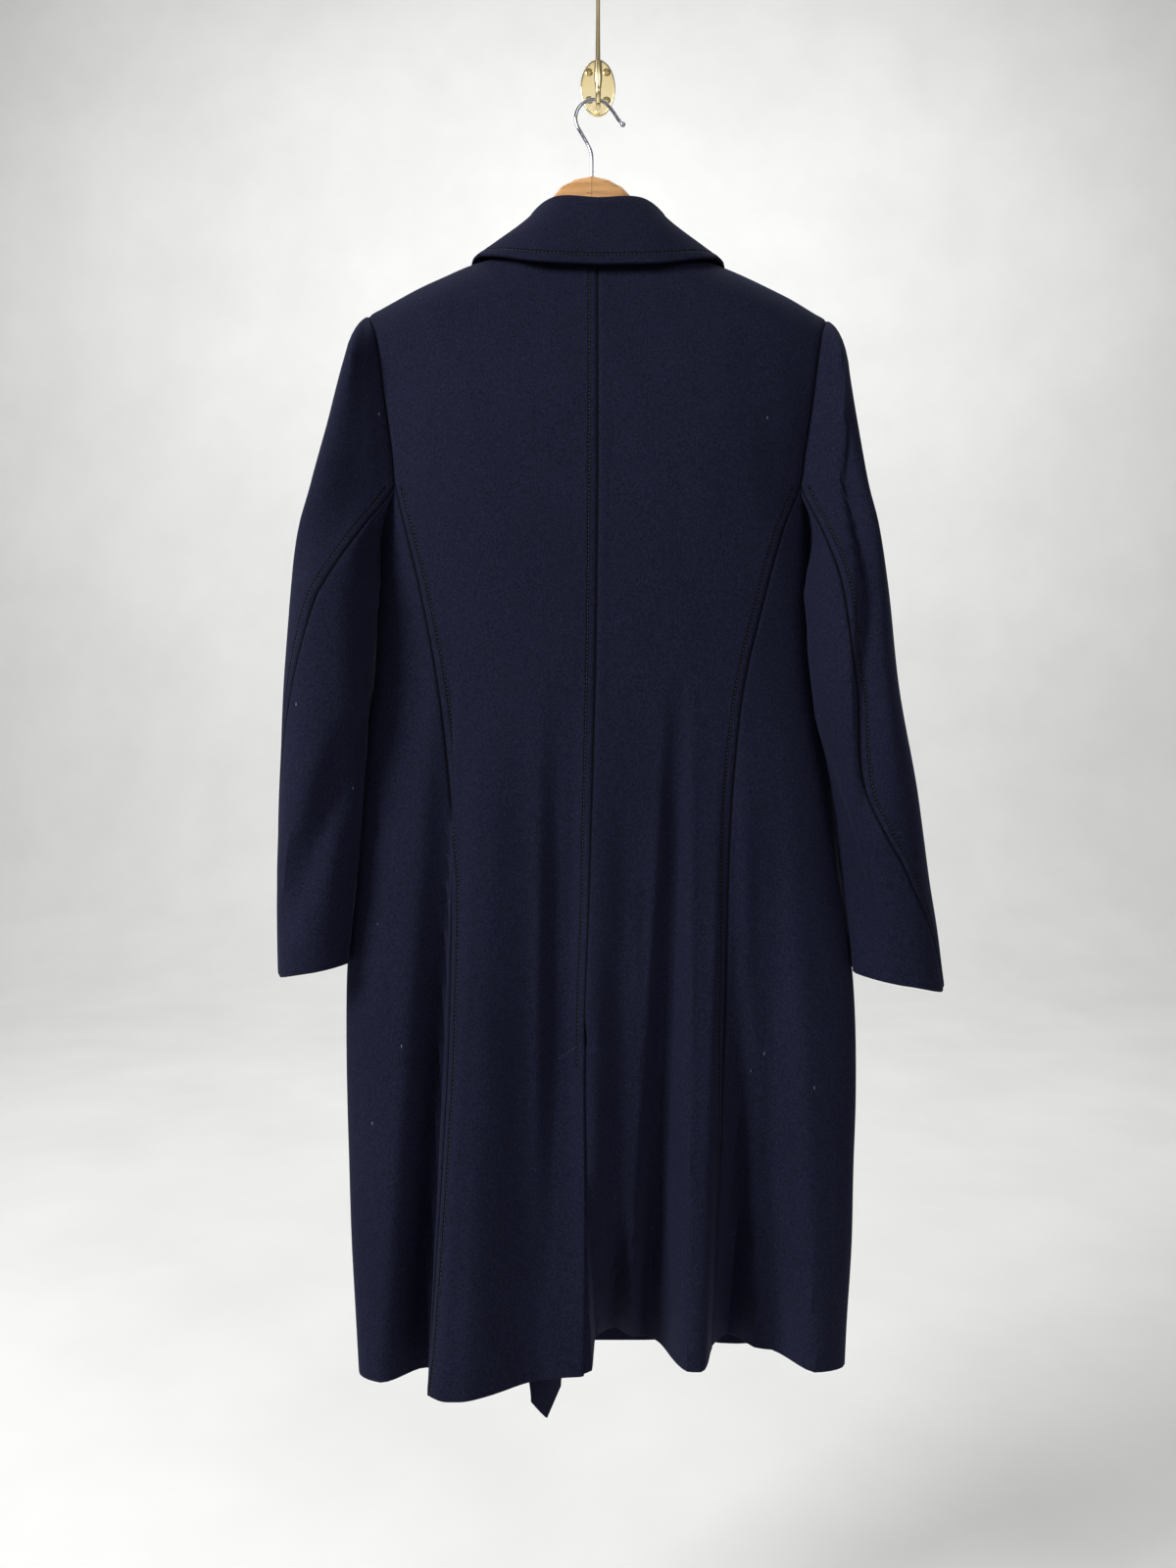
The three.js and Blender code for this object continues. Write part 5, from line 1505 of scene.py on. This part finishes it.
# %% The finishes of metal and wood
chrome, chrome_shader = material("bright chrome", (0.36, 0.37, 0.41), 0.14, 1.0)
chrome_rough = ramp(chrome, noise(chrome, 70, 3), (0.35, 0.10), (0.7, 0.18))
chrome.node_tree.links.new(chrome_rough, chrome_shader.inputs["Roughness"])
relief(chrome, chrome_shader, noise(chrome, 60, 2), 0.015, 0.0003)

brass, brass_shader = material("polished brass", (0.92, 0.76, 0.42), 0.30, 1.0)
brass_stops = ((0.3, (0.80, 0.62, 0.30)), (0.5, (0.92, 0.76, 0.42)), (0.75, (0.98, 0.86, 0.56)))
brass_tone = ramp(brass, noise(brass, 16, 3), *brass_stops)
brass_rough = ramp(brass, noise(brass, 70, 3), (0.3, 0.16), (0.72, 0.26))
brass.node_tree.links.new(brass_tone, brass_shader.inputs["Base Color"])
brass.node_tree.links.new(brass_rough, brass_shader.inputs["Roughness"])
relief(brass, brass_shader, noise(brass, 60, 2), 0.02, 0.0004)

beech, beech_shader = material(
    "lacquered beech", (0.56, 0.31, 0.14), 0.38, Coat_Weight=0.25, Coat_Roughness=0.22
)
rings_of_wood = noise(beech, 9, 3, 0.5, (1, 6, 14))
grain_stops = ((0.3, (0.47, 0.23, 0.085)), (0.5, (0.60, 0.32, 0.130)), (0.7, (0.68, 0.39, 0.17)))
grain = ramp(beech, rings_of_wood, *grain_stops)
pores = ramp(beech, noise(beech, 420, 2, 0.6, (0.14, 1, 1)), (0.36, 0.72), (0.44, 1.0))
wood_tone = mix(beech, "MULTIPLY", 1.0, grain, pores)
beech.node_tree.links.new(wood_tone, beech_shader.inputs["Base Color"])
relief(beech, beech_shader, noise(beech, 420, 2, 0.6, (0.14, 1, 1)), 0.12, 0.0003)


# %% [markdown]
# ### The hanger's wire
#
# The wire is bent to a hook and ends in a small ball. It is a bar whose centre line runs through a few
# measured points and whose radius swells at the end.

# %% The hanger's wire
def hanger_wire():
    centres, run = curve_through([(x, HANGER_Y, z) for x, z in HOOK_WIRE], 150)
    end = np.array([4.6, 4.2, 3.7, 3.1, 2.4, 1.8, 1.2, 0.7, 0.35, 0.1])
    goals = np.concatenate([run[run < run[-1] - 5], run[-1] - end])
    centres = np.stack([np.interp(goals, run, centres[:, k]) for k in range(3)], axis=1)
    left = run[-1] - goals
    ball = np.sqrt(np.maximum(0.05, 2.6**2 - (left - 2.3) ** 2))
    radii = np.where(left > 4.6, WIRE / 2, np.maximum(ball, 0.4))
    return bar("hanger_wire", centres, radii)


wire = dress(hanger_wire(), chrome)
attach(wire, "root")
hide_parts("hanger_hook")

# %% [markdown]
# ## The wooden hanger
#
# The hanger's two halves are shaped wood, joined in the middle where the wire goes in. Each is a bar of
# changing height, rounder on top than at its sides, built ring by ring like the metal ones.

# %% The hanger's halves
HANGER = table(
    "x top deep thick",
    (0.2, -109, 80.5, 15),
    (16, -112, 78.5, 15),
    (30, -119.5, 73, 15),
    (40, -131, 65, 15),
    (48, -149, 52, 14),
    (55, -173, 38, 13),
    (62, -189.2, 32, 13),
    (74, -190.4, 32, 13),
    (90, -194.2, 31, 13),
    (150, -220.6, 27, 13),
    (200, -243, 25, 13),
    (211, -248.2, 20, 12),
    (216, -254, 9, 8),
)


def hanger_half(name, hand):
    stations = np.concatenate([np.linspace(0.2, 70, 60), np.linspace(73, 200, 30), np.linspace(203, 216, 8)])
    around = 32
    bm = bmesh.new()
    ring = bmesh.ops.create_circle(bm, segments=around, radius=1, cap_ends=True)["verts"]
    face = bm.faces[:][0]
    angles = np.linspace(0, 2 * np.pi, around, endpoint=False)
    c, s = (np.sign(v) * np.abs(v) ** 0.94 for v in (np.cos(angles), np.sin(angles)))
    for i, x in enumerate(stations):
        px = hand * x + HANGER_MIDDLE * (1 - share(x, 30, 90))
        top, deep, thick = (np.interp(x, HANGER["x"], HANGER[k]) for k in ("top", "deep", "thick"))
        if i:
            face = bmesh.ops.extrude_discrete_faces(bm, faces=[face])["faces"][0]
            ring = list(face.verts)
        for vert, up, aside in zip(ring, c, s):
            z = top - deep / 2 + deep / 2 * up - TILT * px
            vert.co = Vector((px, HANGER_Y + thick / 2 * aside, z)) * 0.001
    return finish_mesh(name, bm, 60)


for side, hand in HANDS.items():
    half = dress(hanger_half(f"hanger_half_{side}", hand), beech)
    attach(half, "root")
    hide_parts(f"hanger_{side}")

# %% [markdown]
# ## The brass wall hook
#
# A cast hat-and-coat hook: an oval plate with four countersunk screws, a short prong below that carries
# the hanger, and a long thin one that rises high above it and ends in a small ball.

# %% The wall hook
PLATE = {"wide": 35.5, "high": 58, "thick": 2.6}
LOWER_PRONG = (
    (0, -2.6, -20),
    (0, -12, -28),
    (0, -27, -36.6),
    (0, -38.5, -38.6),
    (0, -45.5, -32),
    (0, -48, -19),
    (0, -48, 0),
)
UPPER_PRONG = ((0, -2.6, 17), (0, -8, 28), (0, -22, 52), (0, -38, 77), (0, -50, 98))


def brass_piece(piece):
    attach(piece, "root")
    return dress(piece, brass)


def hook_plate():
    bm = bmesh.new()
    bmesh.ops.create_circle(bm, segments=96, radius=1, cap_ends=True)
    face = bm.faces[:][0]
    for level, inset in ((0, 0), (1.3, 0), (1.9, 0.12), (2.3, 0.5), (2.5, 1.1), (2.6, 2.0), (2.55, 4.5)):
        if level:
            face = bmesh.ops.extrude_discrete_faces(bm, faces=[face])["faces"][0]
        count = len(face.verts)
        for i, vert in enumerate(face.verts):
            a = 2 * math.pi * i / count
            x, z = (PLATE["wide"] / 2 - inset) * math.cos(a), (PLATE["high"] / 2 - inset) * math.sin(a)
            vert.co = Vector((x, -level, z)) * 0.001
    return finish_mesh("hook_plate", bm, 50)


def lower_radius(q):
    """The prong swells into a long bulb at its end."""
    t = np.clip((q - 0.66) / 0.34, 0, 1)
    rise = np.sin(np.pi / 2 * np.minimum(1, t / 0.45))
    fall = np.where(t < 0.5, 1, np.cos((t - 0.5) * 1.6))
    swell = 2.6 + 1.4 * rise * fall
    end = 2.2 * np.sqrt(np.maximum(0.01, (1 - t) / 0.06))
    return np.where(t > 0.94, np.minimum(swell, end), swell)


def upper_radius(q):
    ball = np.sqrt(np.maximum(0.1, 4.2**2 - ((q - 0.965) / 0.035 * 4.1) ** 2))
    return np.where(q < 0.93, lerp(2.6, 1.95, np.minimum(1, q * 2)), np.maximum(ball, 0.35))


plate = brass_piece(hook_plate())
centres, run = curve_through(LOWER_PRONG, 110)
brass_piece(bar("hook_lower_prong", centres, lower_radius(run / run[-1])))
centres, run = curve_through(UPPER_PRONG, 160)
brass_piece(bar("hook_upper_prong", centres, upper_radius(run / run[-1])))
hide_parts("wall_hook")

worn_brass, worn_shader = material("worn brass", (0.50, 0.37, 0.17), 0.34, 1.0)
worn_tone = ramp(worn_brass, noise(worn_brass, 240, 3), (0.3, (0.30, 0.21, 0.09)), (0.7, (0.62, 0.47, 0.23)))
worn_brass.node_tree.links.new(worn_tone, worn_shader.inputs["Base Color"])
for node in ("screw_upper_left", "screw_upper_right", "screw_lower_left", "screw_lower_right"):
    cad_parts[node].material_slots[0].material = worn_brass

# %% [markdown]
# ## Sizes of the cloth
#
# Each panel is listed with what it hangs from and the CAD solid it stands for. It prints how large it was cut
# and its area, and the CAD solid is hidden. The sizes are those of the cut along the cloth, folds and all.

# %% Sheets
hanger_names = ["hanger_half_left", "hanger_half_right"]
cloths = [
    (backs["left"][0], backs["left"][1], "back_left", hanger_names[:1]),
    (backs["right"][0], backs["right"][1], "back_right", hanger_names[1:]),
    (collar, collar_outer, "collar", ["back_panel_left", "back_panel_right"]),
]
for side in HANDS:
    cloths += [
        (sides[side][0], sides[side][1], f"side_{side}", [f"back_panel_{side}"]),
        (fronts[side][0], fronts[side][1], f"front_{side}", [f"hanger_half_{side}"]),
        (lapels[side][0], lapels[side][1], f"lapel_{side}", [f"front_panel_{side}"]),
        (uppers[side][0], uppers[side][1], f"sleeve_{side}_upper", [f"back_panel_{side}"]),
        (unders[side][0], unders[side][1], f"sleeve_{side}_under", [f"sleeve_{side}_upper_piece"]),
        (bands[side][0], bands[side][1], f"belt_{side}", [f"front_panel_{side}"]),
    ]
for name in TAILS:
    cloths.append((tails[name][0], tails[name][1], f"belt_tail_{name}", ["belt_knot_cloth"]))
for piece, grid, node, rests_on in cloths:
    wide, long, area = flat_size(piece.name, grid)
    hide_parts(node)
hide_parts("belt_knot")

# %% [markdown]
# ## The studio
#
# A pale floor that sweeps up far behind, one soft light from the left and a weaker one from the right,
# and a weak sky give the light of a bright room with clear folds. One lamp lights only the backdrop, and
# one is seen only in reflections, so that metal has something bright to mirror. The sky looks brighter
# where the floor ends than it shines.

# %% Floor, backdrop and lights
FLOOR_Z = -1.62
SKY_LIGHT = 0.13  # how strongly the sky lights the coat
SKY_SEEN = 0.72  # how bright it looks where the floor ends


def sweep():
    bm = bmesh.new()
    profile = [(-6.5, 0), (3.2, 0), (3.6, 0.03), (3.95, 0.13), (4.25, 0.32)]
    profile += [(4.42, 0.6), (4.5, 1.0), (4.5, 7.6)]
    verts = [bm.verts.new((-9, y, FLOOR_Z + z)) for y, z in profile]
    edges = [bm.edges.new(pair) for pair in zip(verts, verts[1:])]
    made = bmesh.ops.extrude_edge_only(bm, edges=edges)
    moved = [v for v in made["geom"] if isinstance(v, bmesh.types.BMVert)]
    bmesh.ops.translate(bm, vec=(18, 0, 0), verts=moved)
    return finish_mesh("studio_sweep", bm, 60)


floor = sweep()
paper, paper_shader = material("pale paper", (0.80, 0.80, 0.79), 0.85)
paper_tone = ramp(paper, noise(paper, 3, 3), (0.3, (0.78, 0.78, 0.77)), (0.7, (0.83, 0.83, 0.82)))
paper.node_tree.links.new(paper_tone, paper_shader.inputs["Base Color"])
dress(floor, paper)


def soft_light(name, place, aim, size, power, on_cloth=True):
    lamp = bpy.data.lights.new(name, "AREA")
    lamp.shape = "RECTANGLE"
    lamp.size, lamp.size_y = size
    lamp.energy = power
    lamp_object = bpy.data.objects.new(name, lamp)
    lamp_object.location = place
    lamp_object.rotation_euler = (Vector(aim) - Vector(place)).to_track_quat("-Z", "Y").to_euler()
    lamp_object.visible_camera = False
    lamp_object.visible_diffuse = on_cloth
    bpy.context.collection.objects.link(lamp_object)


soft_light("window", (-2.3, -1.5, 0.7), (0, 0, -0.8), (0.9, 1.3), 108)
soft_light("fill", (1.6, -2.6, 0.6), (0, 0, -0.8), (1.2, 1.6), 24)
soft_light("shine_of_metal", (0.3, -3.0, 0.9), (0, 0, 0), (2.4, 2.2), 14, False)
soft_light("backdrop", (0, 1.3, 2.9), (0, 4.5, -0.6), (5.0, 1.2), 145)

world = bpy.data.worlds.new("pale room")
bpy.context.scene.world = world
world.use_nodes = True
sky = world.node_tree.nodes["Background"]
sky.inputs["Color"].default_value = (0.93, 0.94, 0.96, 1)
seen = world.node_tree.nodes.new("ShaderNodeLightPath")
glow = world.node_tree.nodes.new("ShaderNodeMapRange")
glow.inputs["To Min"].default_value = SKY_LIGHT
glow.inputs["To Max"].default_value = SKY_SEEN
world.node_tree.links.new(seen.outputs["Is Camera Ray"], glow.inputs["Value"])
world.node_tree.links.new(glow.outputs["Result"], sky.inputs["Strength"])
bpy.context.scene.view_settings.view_transform = "Standard"
